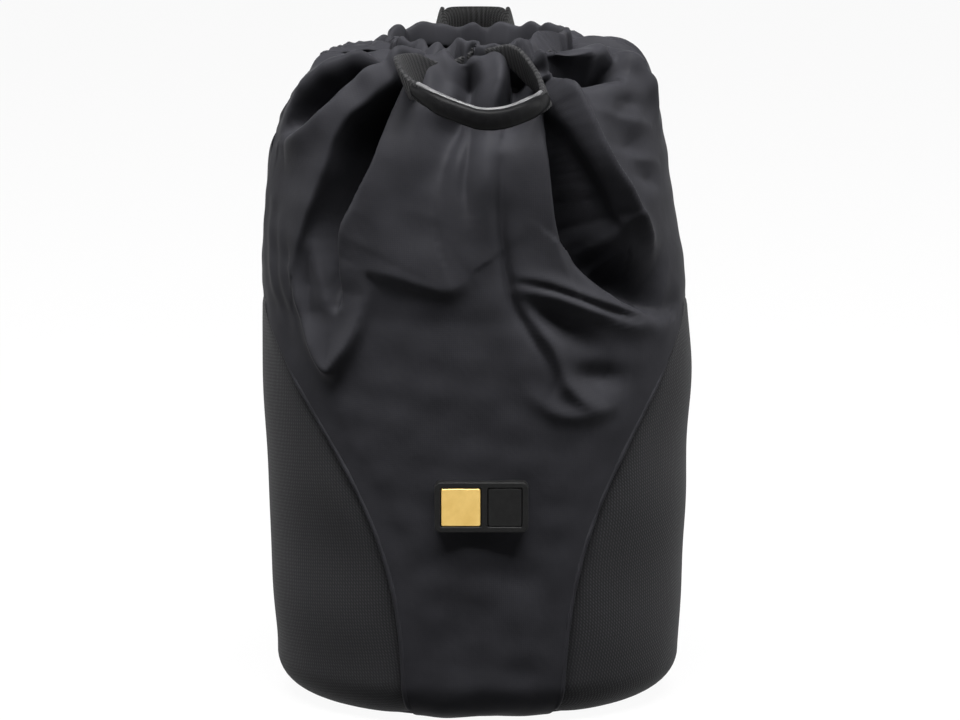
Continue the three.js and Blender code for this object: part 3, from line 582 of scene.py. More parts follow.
def noise(where, scale, detail=3, rough=0.5):
    values = {"Scale": scale, "Detail": detail, "Roughness": rough}
    made = node(where.id_data, "ShaderNodeTexNoise", values)
    link(where, made.inputs["Vector"])
    return made.outputs[0]


def bands(where, pitch, direction, distortion):
    """Soft stripes of the given pitch in metres."""
    step = 20 if direction in "XYZ" else 10
    values = {"Scale": 2 * math.pi / (step * pitch), "Distortion": distortion, "Detail Scale": 1}
    made = node(where.id_data, "ShaderNodeTexWave", values, wave_type="BANDS", bands_direction=direction)
    link(where, made.inputs["Vector"])
    return made.outputs["Fac"]


def bump(shader, height, strength, distance, before=None):
    made = node(height.id_data, "ShaderNodeBump", {"Strength": strength, "Distance": distance})
    link(height, made.inputs["Height"])
    if before is not None:
        link(before, made.inputs["Normal"])
    link(made.outputs[0], shader.inputs["Normal"])
    return made.outputs[0]


def new_material(name, values):
    """A material and its shader, and the place on a piece in space and on its cloth."""
    material = bpy.data.materials.new(name)
    material.use_nodes = True
    shader = material.node_tree.nodes["Principled BSDF"]
    for key, value in values.items():
        shader.inputs[key].default_value = value
    place = node(material.node_tree, "ShaderNodeTexCoord")
    return material, shader, place.outputs["Object"], place.outputs["UV"]


def paint(shader, colour, roughness):
    link(colour, shader.inputs["Base Color"])
    link(roughness, shader.inputs["Roughness"])


def satin():
    """Smooth, close-woven nylon with a soft sheen."""
    material, shader, space, cloth = new_material("satin_nylon", {"Specular IOR Level": 0.035})
    dark, light = (0.024, 0.024, 0.0275), (0.032, 0.032, 0.0365)
    paint(shader, ramp(noise(space, 90), dark, light, 0.3, 0.7), span(noise(space, 45), 0.46, 0.6))
    weave = math_node("MULTIPLY", *(bands(cloth, SATIN_PITCH, way, 0.4) for way in "XY"))
    first = bump(shader, weave, 0.1, 0.0001)
    bump(shader, noise(space, 320, 2), 0.18, 0.0004, first)
    return material


def twill():
    """Heavy twill: slanting ribs broken into specks where the threads cross."""
    values = {"Specular IOR Level": 0.12, "Sheen Weight": 0.03, "Sheen Roughness": 0.6}
    material, shader, space, cloth = new_material("heavy_twill", values)
    ribs = bands(cloth, TWILL_RIB_PITCH, "DIAGONAL", 0.6)
    thread = math_node("MULTIPLY", ribs, bands(cloth, TWILL_CROSS_PITCH, "X", 0.8))
    fleck = math_node("MULTIPLY", thread, span(noise(cloth, 900, 2), 0.4, 1.4))
    dark, light = (0.015, 0.015, 0.0165), (0.031, 0.031, 0.0335)
    paint(shader, ramp(fleck, dark, light, 0.05, 0.9), span(fleck, 0.75, 0.5))
    first = bump(shader, thread, 0.28, 0.00022)
    bump(shader, noise(space, 120, 2), 0.15, 0.0006, first)
    return material


def webbing(name, dark, light, pitch, specular):
    """Ribbed narrow webbing, with a rib across it at each pitch and a fine slant between."""
    values = {"Specular IOR Level": specular, "Sheen Weight": 0.03, "Sheen Roughness": 0.5}
    material, shader, space, cloth = new_material(name, values)
    rib = math_node("MULTIPLY", bands(cloth, pitch, "Y", 0.5), 0.7)
    slant = math_node("MULTIPLY", bands(cloth, WEBBING_SLANT_PITCH, "DIAGONAL", 0.5), 0.3)
    weave = math_node("ADD", rib, slant)
    paint(shader, ramp(weave, dark, light, 0.15, 0.95), span(noise(space, 200), 0.55, 0.75))
    first = bump(shader, weave, 0.7, 0.0004)
    bump(shader, noise(space, 1500, 2), 0.3, 0.0002, first)
    return material


def speckled(name, dark, light, scale, rough, depth, specular=0.4, metal=0):
    """A finish whose colour, roughness and grain all come from one noise."""
    values = {"Specular IOR Level": specular, "Metallic": metal}
    material, shader, space, _ = new_material(name, values)
    grain = noise(space, scale, 4, 0.6)
    paint(shader, ramp(grain, dark, light, 0.3, 0.7), span(grain, *rough))
    bump(shader, grain, 0.4, depth)
    return material


SATIN = satin()
TWILL = twill()
WEBBING = webbing("webbing", (0.008, 0.008, 0.009), (0.03, 0.03, 0.031), 0.0013, 0.2)
FUZZY = webbing("rear_webbing", (0.003, 0.003, 0.003), (0.013, 0.013, 0.0135), 0.0016, 0.1)
LINING = speckled("lining_cloth", (0.02, 0.02, 0.022), (0.035, 0.035, 0.037), 500, (0.6, 0.8), 0.0002)
FOAM = speckled("open_foam", (0.05, 0.05, 0.055), (0.09, 0.09, 0.095), 900, (0.85, 1), 0.0006, 0.2)
BOARD = speckled("grey_board", (0.16, 0.15, 0.14), (0.24, 0.23, 0.21), 300, (0.7, 0.9), 0.0003, 0.3)
RUBBER = speckled("badge_rubber", (0.006, 0.006, 0.006), (0.011, 0.011, 0.011), 700, (0.38, 0.55), 0.00006,
                  0.15)
GRIP = speckled("grip_sleeve", (0.004, 0.004, 0.0045), (0.009, 0.009, 0.0095), 500, (0.32, 0.48), 0.0002,
                0.06)
# Light grey gloss for the strip along the front grip's top edge: a painted highlight standing for the bright
# line of light there
EDGE = speckled("grip_painted_highlight", (0.06, 0.06, 0.062), (0.2, 0.2, 0.204), 260, (0.22, 0.36), 0.0001, 0.5)
GOLD = speckled("satin_gold", (0.72, 0.47, 0.13), (0.86, 0.6, 0.2), 220, (0.28, 0.42), 0.00005, 0.5, 0.75)
THREAD = speckled("sewing_thread", (0.012, 0.012, 0.013), (0.03, 0.03, 0.031), 1500, (0.5, 0.7), 0.0001)


# Satin tongue and collar, one cloth

def make_satin():
    """The cloth; returns its outer face, for what lies under it."""
    rows = np.concatenate([np.linspace(0, PANEL_LEVEL, TONGUE_ROWS, endpoint=False),
                           np.linspace(PANEL_LEVEL, NECK_LEVEL, COLLAR_ROWS)])
    side = math.radians(SEAM_TOP_ANGLE)
    front = strip_grid(rows, seam_angle(rows, -1), seam_angle(rows, 1), np.linspace(0, 1, FRONT_COLUMNS + 1))
    back = strip_grid(rows[TONGUE_ROWS:], side, 2 * math.pi - side, np.linspace(0, 1, REAR_COLUMNS + 1))
    angles, levels = (np.concatenate([a.ravel(), b.ravel()]) for a, b in zip(front, back))
    points = satin_points(angles, levels)
    uvs = np.column_stack([angles * stretch(angles, levels), levels])
    faces = grid_faces(*front[0].shape) + grid_faces(*back[0].shape, front[0].size)
    outer = BVHTree.FromPolygons(points.tolist(), faces)
    cloth = thicken(weld(new_object("gathered_satin", points, faces, uvs)), SATIN_THICKNESS)
    dress(cloth, SATIN, "satin", "front_panel", "front_collar", "rear_collar")
    across_mouth(cloth)
    return outer


# Twill sides and back, each with its foam, and the base

PANEL_ROWS = 90
PANEL_COLUMNS = 90
PANEL_TUCK = 1.5
PILLOW_DEPTH = 1.7
PILLOW_SPREAD = 3.2
PILLOW_BELOW_SEAM = (28, 6)
TOP_DIP = 0.8
TOP_DIP_RISE = (-1.6, 0.4)
SWELL_FROM_EDGE = 10
SWELL_LEVELS = (4, 24)
WELT_WIDTH = 1.4
WELT_DEPTH = 0.4
WELT_SINK = 1.2
WELT_FOOT = 2.5
WELT_ROWS = 160
BASE_OVERLAP = 1
BASE_LIFT = 1.2
BASE_DOME = 0.6
BASE_THICKNESS = 1


def make_twill(name, levels, start, end, nodes, straight):
    """A padded panel between two edges; its threads follow the first edge (straight 0) or the last (-1)."""
    share = np.linspace(0, 1, PANEL_COLUMNS)
    angle, level = strip_grid(levels, start, end, share)
    edge = np.minimum(share, 1 - share) * (angle[:, -1:] - angle[:, :1]) * stretch(angle, level)
    fade_start, fade_end = (PANEL_LEVEL - below for below in PILLOW_BELOW_SEAM)
    drawn_in = PILLOW_DEPTH * np.exp(-edge / PILLOW_SPREAD) * (1 - smoothstep(level, fade_start, fade_end))
    drawn_in += TOP_DIP * smoothstep(level - PANEL_LEVEL, *TOP_DIP_RISE)
    swell = ripples(angle, level, *TWILL_SWELL) * smoothstep(edge, 0, SWELL_FROM_EDGE)
    points = wall(angle, level, swell * smoothstep(level, *SWELL_LEVELS) - drawn_in)
    steps = np.linalg.norm(np.diff(points, axis=1), axis=-1)
    across = np.column_stack([np.zeros(len(levels)), np.cumsum(steps, axis=1)])
    uvs = np.stack([across - across[:, straight, None], level], -1)
    panel = dress(grid_piece(name, points, TWILL_THICKNESS, uvs), TWILL, "twill", *nodes)
    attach(panel, "pouch")


def make_sides():
    levels = np.linspace(0, PANEL_LEVEL + PANEL_TUCK, PANEL_ROWS)
    right, left = seam_angle(levels, 1), seam_angle(levels, -1)
    back = math.radians(BACK_SEAM_ANGLE)
    make_twill("right_twill_side", levels, right, back, ("right_side_panel", "right_foam"), -1)
    make_twill("left_twill_side", levels, -back, left, ("left_side_panel", "left_foam"), 0)
    make_twill("back_twill_panel", levels, back, 2 * math.pi - back, ("back_panel", "back_foam"), 0)


def make_seams():
    """The rolled edge along each side of the tongue, sunk into it at both ends."""
    levels = np.linspace(WELT_FOOT, PANEL_LEVEL - 1, WELT_ROWS)
    sunk = smoothstep(levels, PANEL_LEVEL - 20, PANEL_LEVEL - 3) + 1 - smoothstep(levels, 2, CORNER_HEIGHT)
    for place, side in (("right", 1), ("left", -1)):
        angle = seam_angle(levels, side)
        wander = ripples(angle, levels, *WELT_WANDER)
        centre = wall(angle, levels, wander - WELT_DEPTH - WELT_SINK * sunk)
        out = unit(wall(angle, levels, 1) - wall(angle, levels))
        across = unit(np.cross(unit(np.gradient(centre, axis=0)), out))
        seam = sweep(f"{place}_rolled_seam", centre, across, out, WELT_WIDTH, WELT_WIDTH, section(12, 1))
        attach(dress(seam, SATIN, "satin", f"{place}_seam_welt"), "pouch")


def make_base():
    """The twill underside, a little domed, inside the turned-up edges of the walls."""
    rows, columns = 16, 96
    half_width, half_depth, _ = PROFILE[0] + BASE_OVERLAP
    rings = np.linspace(0.02, 1, rows)[:, None]
    turn = np.linspace(0, 2 * math.pi, columns, endpoint=False)[None, :]
    x, y = half_width * rings * np.sin(turn), -half_depth * rings * np.cos(turn)
    z = BASE_LIFT + BASE_DOME * (1 - rings ** 4) + 0 * x
    points = np.stack([x, y, z], -1).reshape(-1, 3)
    faces = [f[::-1] for f in grid_faces(rows, columns, 0, True)] + [tuple(range(columns))]
    base = weld(new_object("base_twill", points, faces, points[:, :2]))
    thicken(base, BASE_THICKNESS)
    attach(dress(base, TWILL, "twill", "base_panel"), "pouch")


# Front pad and lining

PAD_SPAN = (0.04, 0.96)
PAD_BELOW_SEAM = 2
LINING_BELOW_NECK = 0.5
LINING_STEP = 10
LINING_FOLDS_RISE = (-4, 8)
LINING_SWELL = 1.5
LINING_REACH = 3
LINING_GAP = 2.4
LINING_NEAR = 12
LINING_RADIUS = 40


def make_front_pad():
    """The foam behind the tongue."""
    rows, columns = 40, 60
    levels = np.linspace(CORNER_HEIGHT, PANEL_LEVEL - PAD_BELOW_SEAM, rows)
    share = np.linspace(*PAD_SPAN, columns)
    angle, level = strip_grid(levels, seam_angle(levels, -1), seam_angle(levels, 1), share)
    points = wall(angle, level, np.minimum(satin_offset(angle, level), 0) - PAD_GAP)
    pad = dress(grid_piece("front_pad", points, PAD_THICKNESS), FOAM, "foam", "front_foam")
    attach(pad, "pouch")


def tuck_under(grid, cover, passes=12):
    """Moves points of a closed ring grid that lie near the cover inside it, and keeps them smooth."""
    for _ in range(passes):
        around = (np.roll(grid, 1, 1) + np.roll(grid, -1, 1))[1:-1] + grid[:-2] + grid[2:]
        grid[1:-1] = 0.6 * grid[1:-1] + 0.1 * around
        for point in grid.reshape(-1, 3):
            place, normal, _, distance = cover.find_nearest(point)
            above = float(np.dot(point - np.array(place), normal)) + LINING_GAP
            if above > 0 and distance < LINING_NEAR:
                point -= np.array(normal) * above
    return grid


def make_lining(cover):
    """The lining, from the neck down over the padding to the base."""
    rows, columns = 110, 160
    levels = np.linspace(CORNER_HEIGHT, NECK_LEVEL - LINING_BELOW_NECK, rows)
    share = np.linspace(0, 1, columns, endpoint=False)
    angle, level = strip_grid(levels, 0, 2 * math.pi, share)
    rise = level - PANEL_LEVEL
    depth = LINING_DEPTH + (COLLAR_LINING_DEPTH - LINING_DEPTH) * smoothstep(rise, 0, LINING_STEP)
    beside = LINING_REACH / stretch(angle, level)
    folds = np.minimum.reduce([satin_offset(angle + x * beside, level + y * LINING_REACH)
                               for x, y in ((0, 0), (-1, 0), (1, 0), (0, -1), (0, 1))])
    folds *= smoothstep(rise, *LINING_FOLDS_RISE)
    points = wall(angle, level, np.minimum(folds, LINING_SWELL) - depth)
    collar = int(np.searchsorted(levels, PANEL_LEVEL + LINING_NEAR))
    points[collar:] = tuck_under(points[collar:], cover)
    uvs = np.stack([angle * LINING_RADIUS, level], -1)
    lining = dress(grid_piece("lining_cloth", points, LINING_THICKNESS, uvs, True), LINING, "lining",
                   "wall_lining", "front_collar_lining", "rear_collar_lining", "foam_edge_binding")
    across_mouth(lining)


# Neck hem and the tape inside it; its knot, tab, flap, bunch and pinch are each at an angle, with a spread

HEM_HEIGHT = 6.6
HEM_THICKNESS = 2.2
HEM_SINK = 1.4
HEM_FOLD_SHARE = 0.8
HEM_KNOT = (3, 10)
HEM_TAB = (-34, 15)
HEM_FLAP = (48, 16)
HEM_BUNCH = (-84, 24)
HEM_PINCH = (180, 18)
PINCH_DEPTH = 2.2
HEM_STEPS = 480
HEM_WAVES = (5, 8, 11, 15)
HEM_WAVE = 0.3
HEM_LIFT = 0.2
PUCKERS = ((37, 0.4), (52, 2.2), (71, 4))
TAPE_HEIGHT = 3.8
TAPE_THICKNESS = 1.1
STITCH_LENGTH = 2
STITCH_GAP = 0.9
STITCH_RADIUS = 0.22


def hem_marks(angle):
    """How much of the knot, tab, flap, bunch and pinch there is at each angle."""
    marks = []
    for middle, spread in (HEM_KNOT, HEM_TAB, HEM_FLAP, HEM_BUNCH, HEM_PINCH):
        away = (np.degrees(angle) - middle + 180) % 360 - 180
        marks.append(np.exp(-((away / spread) ** 2)))
    return marks


def hem_path():
    """Centre line of the scrunched hem, with its upright and outward directions."""
    angle = np.linspace(0, 2 * math.pi, HEM_STEPS, endpoint=False)
    foot = satin_points(angle, np.full_like(angle, NECK_LEVEL), HEM_FOLD_SHARE)
    outward = np.column_stack([np.sin(angle), -np.cos(angle), np.zeros_like(angle)])
    draw = np.random.default_rng(17)
    wave, lift = np.zeros_like(angle), np.zeros_like(angle)
    for turns in HEM_WAVES:
        wave += np.sin(turns * angle + draw.uniform(0, 2 * math.pi)) * HEM_WAVE
        lift += np.sin(turns * angle + draw.uniform(0, 2 * math.pi)) * HEM_LIFT
    knot, tab, flap, bunch, pinch = hem_marks(angle)
    wave *= 1 - pinch
    lift *= 1 - 0.75 * smoothstep(-np.cos(angle), 0.2, 0.8)
    centre = foot + outward * (wave + 0.8 * knot + 1.4 * tab + 0.8 * flap - PINCH_DEPTH * pinch)[:, None]
    centre[:, 2] += HEM_HEIGHT / 2 - HEM_SINK + lift - knot - 0.4 * tab + 0.8 * flap - 2.4 * bunch
    lean = 0.1 + 0.1 * np.sin(7 * angle + 1) - tab - 1.2 * flap
    upright = unit(outward * lean[:, None] + np.array([0, 0, 1.0]))
    along = unit(np.roll(centre, -1, 0) - np.roll(centre, 1, 0))
    return angle, centre, upright, unit(np.cross(along, upright))


def make_hem():
    angle, centre, upright, out = hem_path()
    knot, tab, flap, bunch, pinch = hem_marks(angle)
    outline = section(24, 0.6)
    height = HEM_HEIGHT * (1 + 0.07 * np.sin(6 * angle + 2) + 0.3 * flap + 0.15 * tab)
    slack = np.clip(0.3 + 0.35 * knot + 0.2 * bunch - 0.18 * tab - 0.16 * flap - 0.3 * pinch, 0.02, None)
    pucker = sum(np.sin(turns * angle + phase) for turns, phase in PUCKERS) * slack
    outer_face = np.clip(outline[:, 1], 0, 1) * (0.45 + 0.55 * (1 - outline[:, 0]) / 2)
    hem = sweep("hem_channel", centre, upright, out, height, HEM_THICKNESS, outline, True,
                pucker[:, None] * outer_face)
    across_mouth(dress(hem, SATIN, "satin", "front_hem", "rear_hem"))
    tape = sweep("drawstring_tape", centre, upright, out, TAPE_HEIGHT, TAPE_THICKNESS, section(12, 0.5),
                 True)
    across_mouth(dress(tape, WEBBING, "webbing", "front_drawstring", "rear_drawstring"))
    seam = centre - upright * HEM_HEIGHT * 0.34 + out * HEM_THICKNESS * 0.45
    across_mouth(stitch_ring("hem_stitching", seam, out))


def stitch_ring(name, path, out):
    """Thread stitches along a closed path, as one piece."""
    rows, sides = 6, 6
    path, out = np.vstack([path, path[:1]]), np.vstack([out, out[:1]])
    length = length_along(path)
    ring = section(sides, 1)[None, :, :, None]
    size = STITCH_RADIUS * np.sqrt(1 - np.linspace(-0.96, 0.96, rows) ** 2)[:, None, None]
    points, faces = [], []
    for start in np.arange(0, length[-1] - STITCH_LENGTH, STITCH_LENGTH + STITCH_GAP):
        along = start + STITCH_LENGTH * np.linspace(0, 1, rows)
        centre, lift = (np.column_stack([np.interp(along, length, line[:, i]) for i in range(3)])
                        for line in (path, out))
        run = unit(np.gradient(centre, axis=0))
        lift = unit(lift - run * (lift * run).sum(1, keepdims=True))
        side = np.cross(run, lift)
        tube = centre[:, None] + size * (ring[:, :, 0] * side[:, None] + ring[:, :, 1] * lift[:, None])
        first, last = len(points), len(points) + sides * (rows - 1)
        points.extend(tube.reshape(-1, 3))
        faces.extend(grid_faces(rows, sides, first, True))
        faces.append(tuple(range(first, first + sides))[::-1])
        faces.append(tuple(range(last, last + sides)))
    return dress(new_object(name, points, faces), THREAD, "thread")


# Pull loops, each leaving the hem on its out side. flare and lean spread the strap's edges, slim narrows
# its right side, root is its width where it is sewn in, tuck how far it sinks in there, and tip how round
# its far end is. held is where the grip is, and drop how far the strap hangs below the loop's plane, by the
# turn from the root, round by the right. widen is where it reaches its full width, by the turn either way

STRAP_WIDTH = 11.5
STRAP_THICKNESS = 1.5
STRAP_STEPS = 200
FOLDED_WIDTH = 5
FOLD_TURN = (-28, 2)
GRIP_THICKNESS = 4.4
GRIP_END_SHARE = 0.62
GRIP_END_TURN = 30
# A light grey strip along the top of the front grip: a painted highlight for the bright line of light on
# that edge
HIGHLIGHT_STRIP_WIDTH = 0.9
HIGHLIGHT_STRIP_THICKNESS = 1.3
HIGHLIGHT_STRIP_SINK = 0.2
LOOPS = {
    "front": dict(out=-1, half_width=17.5, half_length=16, tilt=-8, flare=0, lean=-0.4, slim=0.15, root=3.2,
                  tuck=0, widen=(10, 46), tip=1.25, grip=5.4, held=(98, 242),
                  drop=((0, 1.5), (20, 0.8), (40, 3.2), (65, 6.2), (90, 7.4), (120, 7.8), (153, 9.2),
                        (180, 8.6), (210, 6.4), (235, 4.2), (270, 3), (300, 4.2), (330, 5.8), (345, 4.4),
                        (360, 1.5))),
    "rear": dict(out=1, half_width=10, half_length=19, tilt=-3, flare=-0.25, lean=0, slim=0, root=2.2,
                 tuck=1, widen=(38, 84), tip=0.7, grip=9.6, held=(118, 242), drop=((0, 0), (360, 0))),
}
LOOP_ROOT = 0.85
LOOP_GAP = 0.02
TUCK_TURN = 18


def loop_path(place, loop):
    """The turn round the loop, and the strap's centre, upright and outward directions at each turn."""
    out, tilt = loop["out"], math.radians(loop["tilt"])
    hinge = next(j for j in frame["record"]["behaviour"]["joints"] if j["name"] == f"{place}_pull_swing")
    root = np.array(hinge["pos_m"]) / MM
    away = np.array([0, out * math.cos(tilt), math.sin(tilt)])
    sideways, up = np.array([1.0, 0, 0]), np.array([0, 0, 1.0])
    turn = np.linspace(LOOP_GAP, 2 * math.pi - LOOP_GAP, STRAP_STEPS)
    far = (1 - np.cos(turn)) / 2
    sine = np.sin(turn)
    power = LOOP_ROOT + (loop["tip"] - LOOP_ROOT) * smoothstep(far, 0.3, 0.9)
    wide = np.sign(sine) * np.abs(sine) ** power
    reach = 2 * loop["half_length"] * far
    hang = spline(loop["drop"])
    drop = np.interp(np.degrees(turn), hang[:, 0], hang[:, 1])
    from_root = np.degrees(np.minimum(turn, 2 * math.pi - turn))
    reach = reach - loop["tuck"] * (1 - smoothstep(from_root, 0, TUCK_TURN))
    wide_at = loop["half_width"] * wide
    centre = root + wide_at[:, None] * sideways + reach[:, None] * away - drop[:, None] * up
    flare = (loop["flare"] * wide + loop["lean"] * np.abs(wide)) * (1 - smoothstep(far, 0.6, 0.9))
    upright = unit(np.array([0, -out * math.sin(tilt), math.cos(tilt)]) + flare[:, None] * sideways)
    along = unit(np.gradient(centre, axis=0))
    return turn, centre, upright, unit(np.cross(along, upright))


def make_loop(place, strap_material, grip_material, painted_highlight):
    loop, body = LOOPS[place], f"{place}_pull"
    turn, centre, upright, out = loop_path(place, loop)
    turned = np.degrees(turn)
    from_root = np.minimum(turned, 360 - turned)
    into_grip = np.minimum(turned - loop["held"][0], loop["held"][1] - turned)
    full = STRAP_WIDTH * (1 - loop["slim"] * np.clip(np.sin(turn), 0, 1))
    width = loop["root"] + (full - loop["root"]) * smoothstep(from_root, *loop["widen"])
    width = width + (FOLDED_WIDTH - width) * smoothstep(into_grip, *FOLD_TURN)
    strap = sweep(f"{place}_pull_webbing", centre, upright, out, width, STRAP_THICKNESS, section(20, 0.45))
    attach(dress(strap, strap_material, "webbing", f"{place}_pull_strap"), body)
    held = into_grip > 0
    swell = GRIP_END_SHARE + (1 - GRIP_END_SHARE) * smoothstep(into_grip[held], 0, GRIP_END_TURN)
    grip_width = loop["grip"] * swell
    grip = sweep(f"{place}_pull_sleeve", centre[held], upright[held], out[held], grip_width,
                 GRIP_THICKNESS * swell, section(24, 0.85))
    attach(dress(grip, grip_material, "grip", f"{place}_pull_grip"), body)
    # Painted highlight: a thin light grey strip laid along the grip's top edge
    if painted_highlight:
        inside = slice(3, -3)
        lift = np.maximum(grip_width, width[held])[inside, None] / 2 - HIGHLIGHT_STRIP_SINK
        middle, edge_up, edge_out = (line[held][inside] for line in (centre, upright, out))
        edge = sweep(f"{place}_sleeve_painted_highlight", middle + edge_up * lift, edge_up, edge_out, HIGHLIGHT_STRIP_WIDTH,
                     HIGHLIGHT_STRIP_THICKNESS, section(12, 0.8))
        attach(dress(edge, EDGE, "grip"), body)


# Badge

BADGE_CORNER = 1.6
BADGE_BEVEL = 0.35
TILE_CORNER = 0.4
TILE_GAP = 0.15
GOLD_BEVEL = 0.32
DARK_BEVEL = 0.15


def rounded_outline(low, high, corner, steps=7):
    """A rectangle with rounded corners in the front plane, as points (x, z)."""
    left, right, bottom, top = low[0] + corner, high[0] - corner, low[2] + corner, high[2] - corner
    points = []
    for x, z, start in ((right, top, 0), (left, top, 90), (left, bottom, 180), (right, bottom, 270)):
        for turn in np.radians(start + np.linspace(0, 90, steps)):
            points.append((x + corner * math.cos(turn), z + corner * math.sin(turn)))
    return points


def plate(name, rings, front, back, bevel):
    """A flat plate with bevelled edges, of an outline and then its holes, between two depths."""
    curve = bpy.data.curves.new(name, "CURVE")
    curve.dimensions = "2D"
    curve.fill_mode = "BOTH"
    curve.extrude = ((back - front) / 2 - bevel) * MM
    curve.bevel_depth = bevel * MM
    curve.bevel_resolution = 3
    curve.offset = -bevel * MM
    for ring in rings:
        line = curve.splines.new("POLY")
        line.points.add(len(ring) - 1)
        line.use_cyclic_u = True
        for point, (x, z) in zip(line.points, ring):
            point.co = (x * MM, z * MM, 0, 1)
    flat = add_object(name + "_outline", curve)
    made = evaluated_mesh(flat)
    bpy.data.objects.remove(flat)
    bpy.data.curves.remove(curve)
    middle = Matrix.Translation((0, (front + back) / 2 * MM, 0))
    made.transform(middle @ Matrix.Rotation(math.pi / 2, 4, "X"))
    return weld(add_object(name, made))


def make_badge():
    """A rubber surround with a gold tile and a dark tile let into it, all bare."""
    holes = []
    for colour, material, slot, bevel in (("gold", GOLD, "gold", GOLD_BEVEL),
                                          ("dark", RUBBER, "badge_rubber", DARK_BEVEL)):
        cad = f"badge_{colour}_plate"
        low, high = box_mm(cad)
        outline = rounded_outline(low, high, TILE_CORNER)
        tile = plate(f"badge_{colour}_tile", [outline], low[1], high[1], bevel)
        holes.append(rounded_outline(low - TILE_GAP, high + TILE_GAP, TILE_CORNER)[::-1])
        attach(dress(tile, material, slot, cad), "pouch")
    low, high = box_mm("badge_frame")
    rings = [rounded_outline(low, high, BADGE_CORNER)] + holes
    surround = plate("badge_surround", rings, low[1], high[1], BADGE_BEVEL)
    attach(dress(surround, RUBBER, "badge_rubber", "badge_frame"), "pouch")


# Belt loop at the back

BELT_THICKNESS = 1.8
BELT_STEPS = 120
BELT_LIFTS_OFF = (4, 14)
TACK_STEPS = 150
TACK_SINK = 0.3
TACK_THREAD = (0.45, 0.5)


def make_belt_loop():
    """A strap sewn down above and below, with a zigzag of thread at each end."""
    low, high = box_mm("belt_loop")
    tacks = [(name, *box_mm(name)) for name in ("lower_bartack", "upper_bartack")]
    sewn_low, sewn_high = ((tack_low[2] + tack_high[2]) / 2 for _, tack_low, tack_high in tacks)
    z = np.linspace(low[2], high[2], BELT_STEPS)
    raised = smoothstep(z - sewn_low, *BELT_LIFTS_OFF) * smoothstep(sewn_high - z, *BELT_LIFTS_OFF)
    flat = wall(np.full_like(z, math.pi), np.array([level_at(h) for h in z]))[:, 1] + BELT_THICKNESS / 2
    y = flat + raised * (high[1] - flat)
    centre = np.column_stack([np.full_like(z, (low[0] + high[0]) / 2), y, z])
    across = np.repeat(np.array([[1.0, 0, 0]]), BELT_STEPS, 0)
    out = unit(np.cross(across, unit(np.gradient(centre, axis=0))))
    width = high[0] - low[0]
    strap = sweep("belt_loop_webbing", centre, across, out, width, BELT_THICKNESS, section(24, 0.4))
    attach(dress(strap, WEBBING, "webbing", "belt_loop"), "pouch")
    for name, tack_low, tack_high in tacks:
        zigzag = (np.arange(TACK_STEPS) % 4 - 1.5) / 1.5
        line = np.column_stack([np.linspace(tack_low[0], tack_high[0], TACK_STEPS),
                                np.full(TACK_STEPS, tack_high[1] - TACK_SINK),
                                tack_low[2] + (zigzag + 1) / 2 * (tack_high[2] - tack_low[2])])
        face = np.repeat(np.array([[0, 1.0, 0]]), TACK_STEPS, 0)
        side = unit(np.cross(face, unit(np.gradient(line, axis=0))))
        tack = sweep(f"{name}_thread", line, side, face, *TACK_THREAD, section(8, 1))
        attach(dress(tack, THREAD, "thread", name), "pouch")


# Hidden pieces that stay as they are

def finish_hidden():
    for name, material in (("base_board", BOARD), ("base_foam", FOAM), ("base_lining", LINING)):
        hidden = frame["nodes"][name]
        hidden.data.materials.clear()
        hidden.data.materials.append(material)


# Floor, light and camera, in metres and watts

CAMERA_DISTANCE = 1
CAMERA_ELEVATION = 11
CAMERA_TARGET = (0.0013, 0, 0.0873)
LENS = 144
STAGE_RADIUS = 6
BACKDROP_HEIGHT = 2.5
FLOOR_DROP = 0.0005
FLOOR_WHITENESS = 0.94
FLOOR_BOUNCE = 0.07
ROOM_LIGHT = 0.035
LIGHT_AIM = (0, 0, 0.1)
LIGHTS = (
    ("overhead", (0, -0.38, 1.12), (1.1, 0.4), 34),
    ("left", (-0.95, 0.06, 0.5), (0.4, 0.7), 2.6),
    ("right", (0.95, 0.06, 0.5), (0.4, 0.7), 4),
)


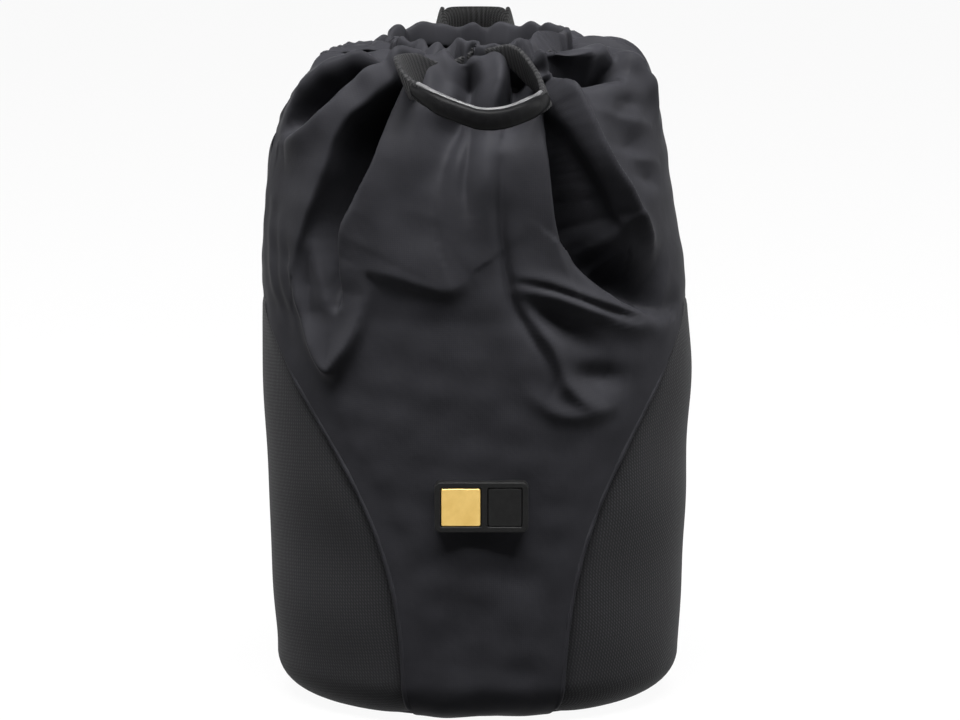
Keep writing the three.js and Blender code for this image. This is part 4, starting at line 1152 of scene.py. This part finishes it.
def make_stage():
    """A pale floor that keeps the shadow, inside a pale round backdrop."""
    values = {"Specular IOR Level": 0.1, "Roughness": 0.9}
    material, shader, space, _ = new_material("pale_floor", values)
    tree = material.node_tree
    grain = noise(space, 3)
    seen = seen_directly(tree)
    pale = math_node("MULTIPLY", span(grain, 0.74, 0.8), span(seen, FLOOR_BOUNCE, 1))
    link(pale, shader.inputs["Base Color"])
    glow = node(tree, "ShaderNodeEmission", {"Strength": 1})
    mix = node(tree, "ShaderNodeMixShader")
    mixed = math_node("MULTIPLY", seen, FLOOR_WHITENESS)
    for source, socket in zip((mixed, shader.outputs[0], glow.outputs[0]), mix.inputs):
        link(source, socket)
    link(mix.outputs[0], tree.nodes["Material Output"].inputs[0])
    sides = 64
    turn = np.linspace(0, 2 * math.pi, sides, endpoint=False)
    rim = STAGE_RADIUS / MM * np.column_stack([np.cos(turn), np.sin(turn), np.zeros(sides)])
    foot, top = (rim + np.array([0, 0, height / MM]) for height in (-FLOOR_DROP, BACKDROP_HEIGHT))
    for name, points, faces in (("floor", foot, [tuple(range(sides))]),
                                ("backdrop", np.vstack([foot, top]), grid_faces(2, sides, 0, True))):
        stage = new_object(name, points, faces)
        stage.data.materials.append(material)
    world = bpy.data.worlds.new("studio")
    world.use_nodes = True
    bpy.context.scene.world = world
    back = world.node_tree.nodes["Background"]
    back.inputs[0].default_value = (1, 1, 1, 1)
    back.inputs[1].default_value = ROOM_LIGHT


def seen_directly(tree):
    """1 for rays from the camera and for reflected or refracted ones, else 0."""
    path = node(tree, "ShaderNodeLightPath")
    either = math_node("MAXIMUM", path.outputs["Is Camera Ray"], path.outputs["Is Glossy Ray"])
    return math_node("MAXIMUM", either, path.outputs["Is Transmission Ray"])


def aim_from(obj, place, target):
    obj.location = place
    obj.rotation_euler = (target - place).to_track_quat("-Z", "Y").to_euler()


def make_lights():
    for name, place, size, power in LIGHTS:
        lamp = bpy.data.lights.new(name, "AREA")
        lamp.shape = "RECTANGLE"
        lamp.size, lamp.size_y = size
        lamp.energy = power
        aim_from(add_object(name, lamp), Vector(place), Vector(LIGHT_AIM))


def make_camera():
    camera = bpy.data.cameras.new("camera")
    camera.sensor_width = 36
    camera.lens = LENS
    camera.clip_start = 0.01
    rise = math.radians(CAMERA_ELEVATION)
    target = Vector(CAMERA_TARGET)
    bpy.context.scene.camera = add_object("camera", camera)
    away = Vector((0, -math.cos(rise), math.sin(rise))) * CAMERA_DISTANCE
    aim_from(bpy.context.scene.camera, target + away, target)


make_camera()
make_lights()
make_stage()
satin_face = make_satin()
make_sides()
make_seams()
make_base()
make_front_pad()
make_lining(satin_face)
make_hem()
make_loop("front", WEBBING, GRIP, True)
make_loop("rear", FUZZY, FUZZY, False)
make_badge()
make_belt_loop()
finish_hidden()

bpy.context.scene.view_settings.view_transform = "Standard"
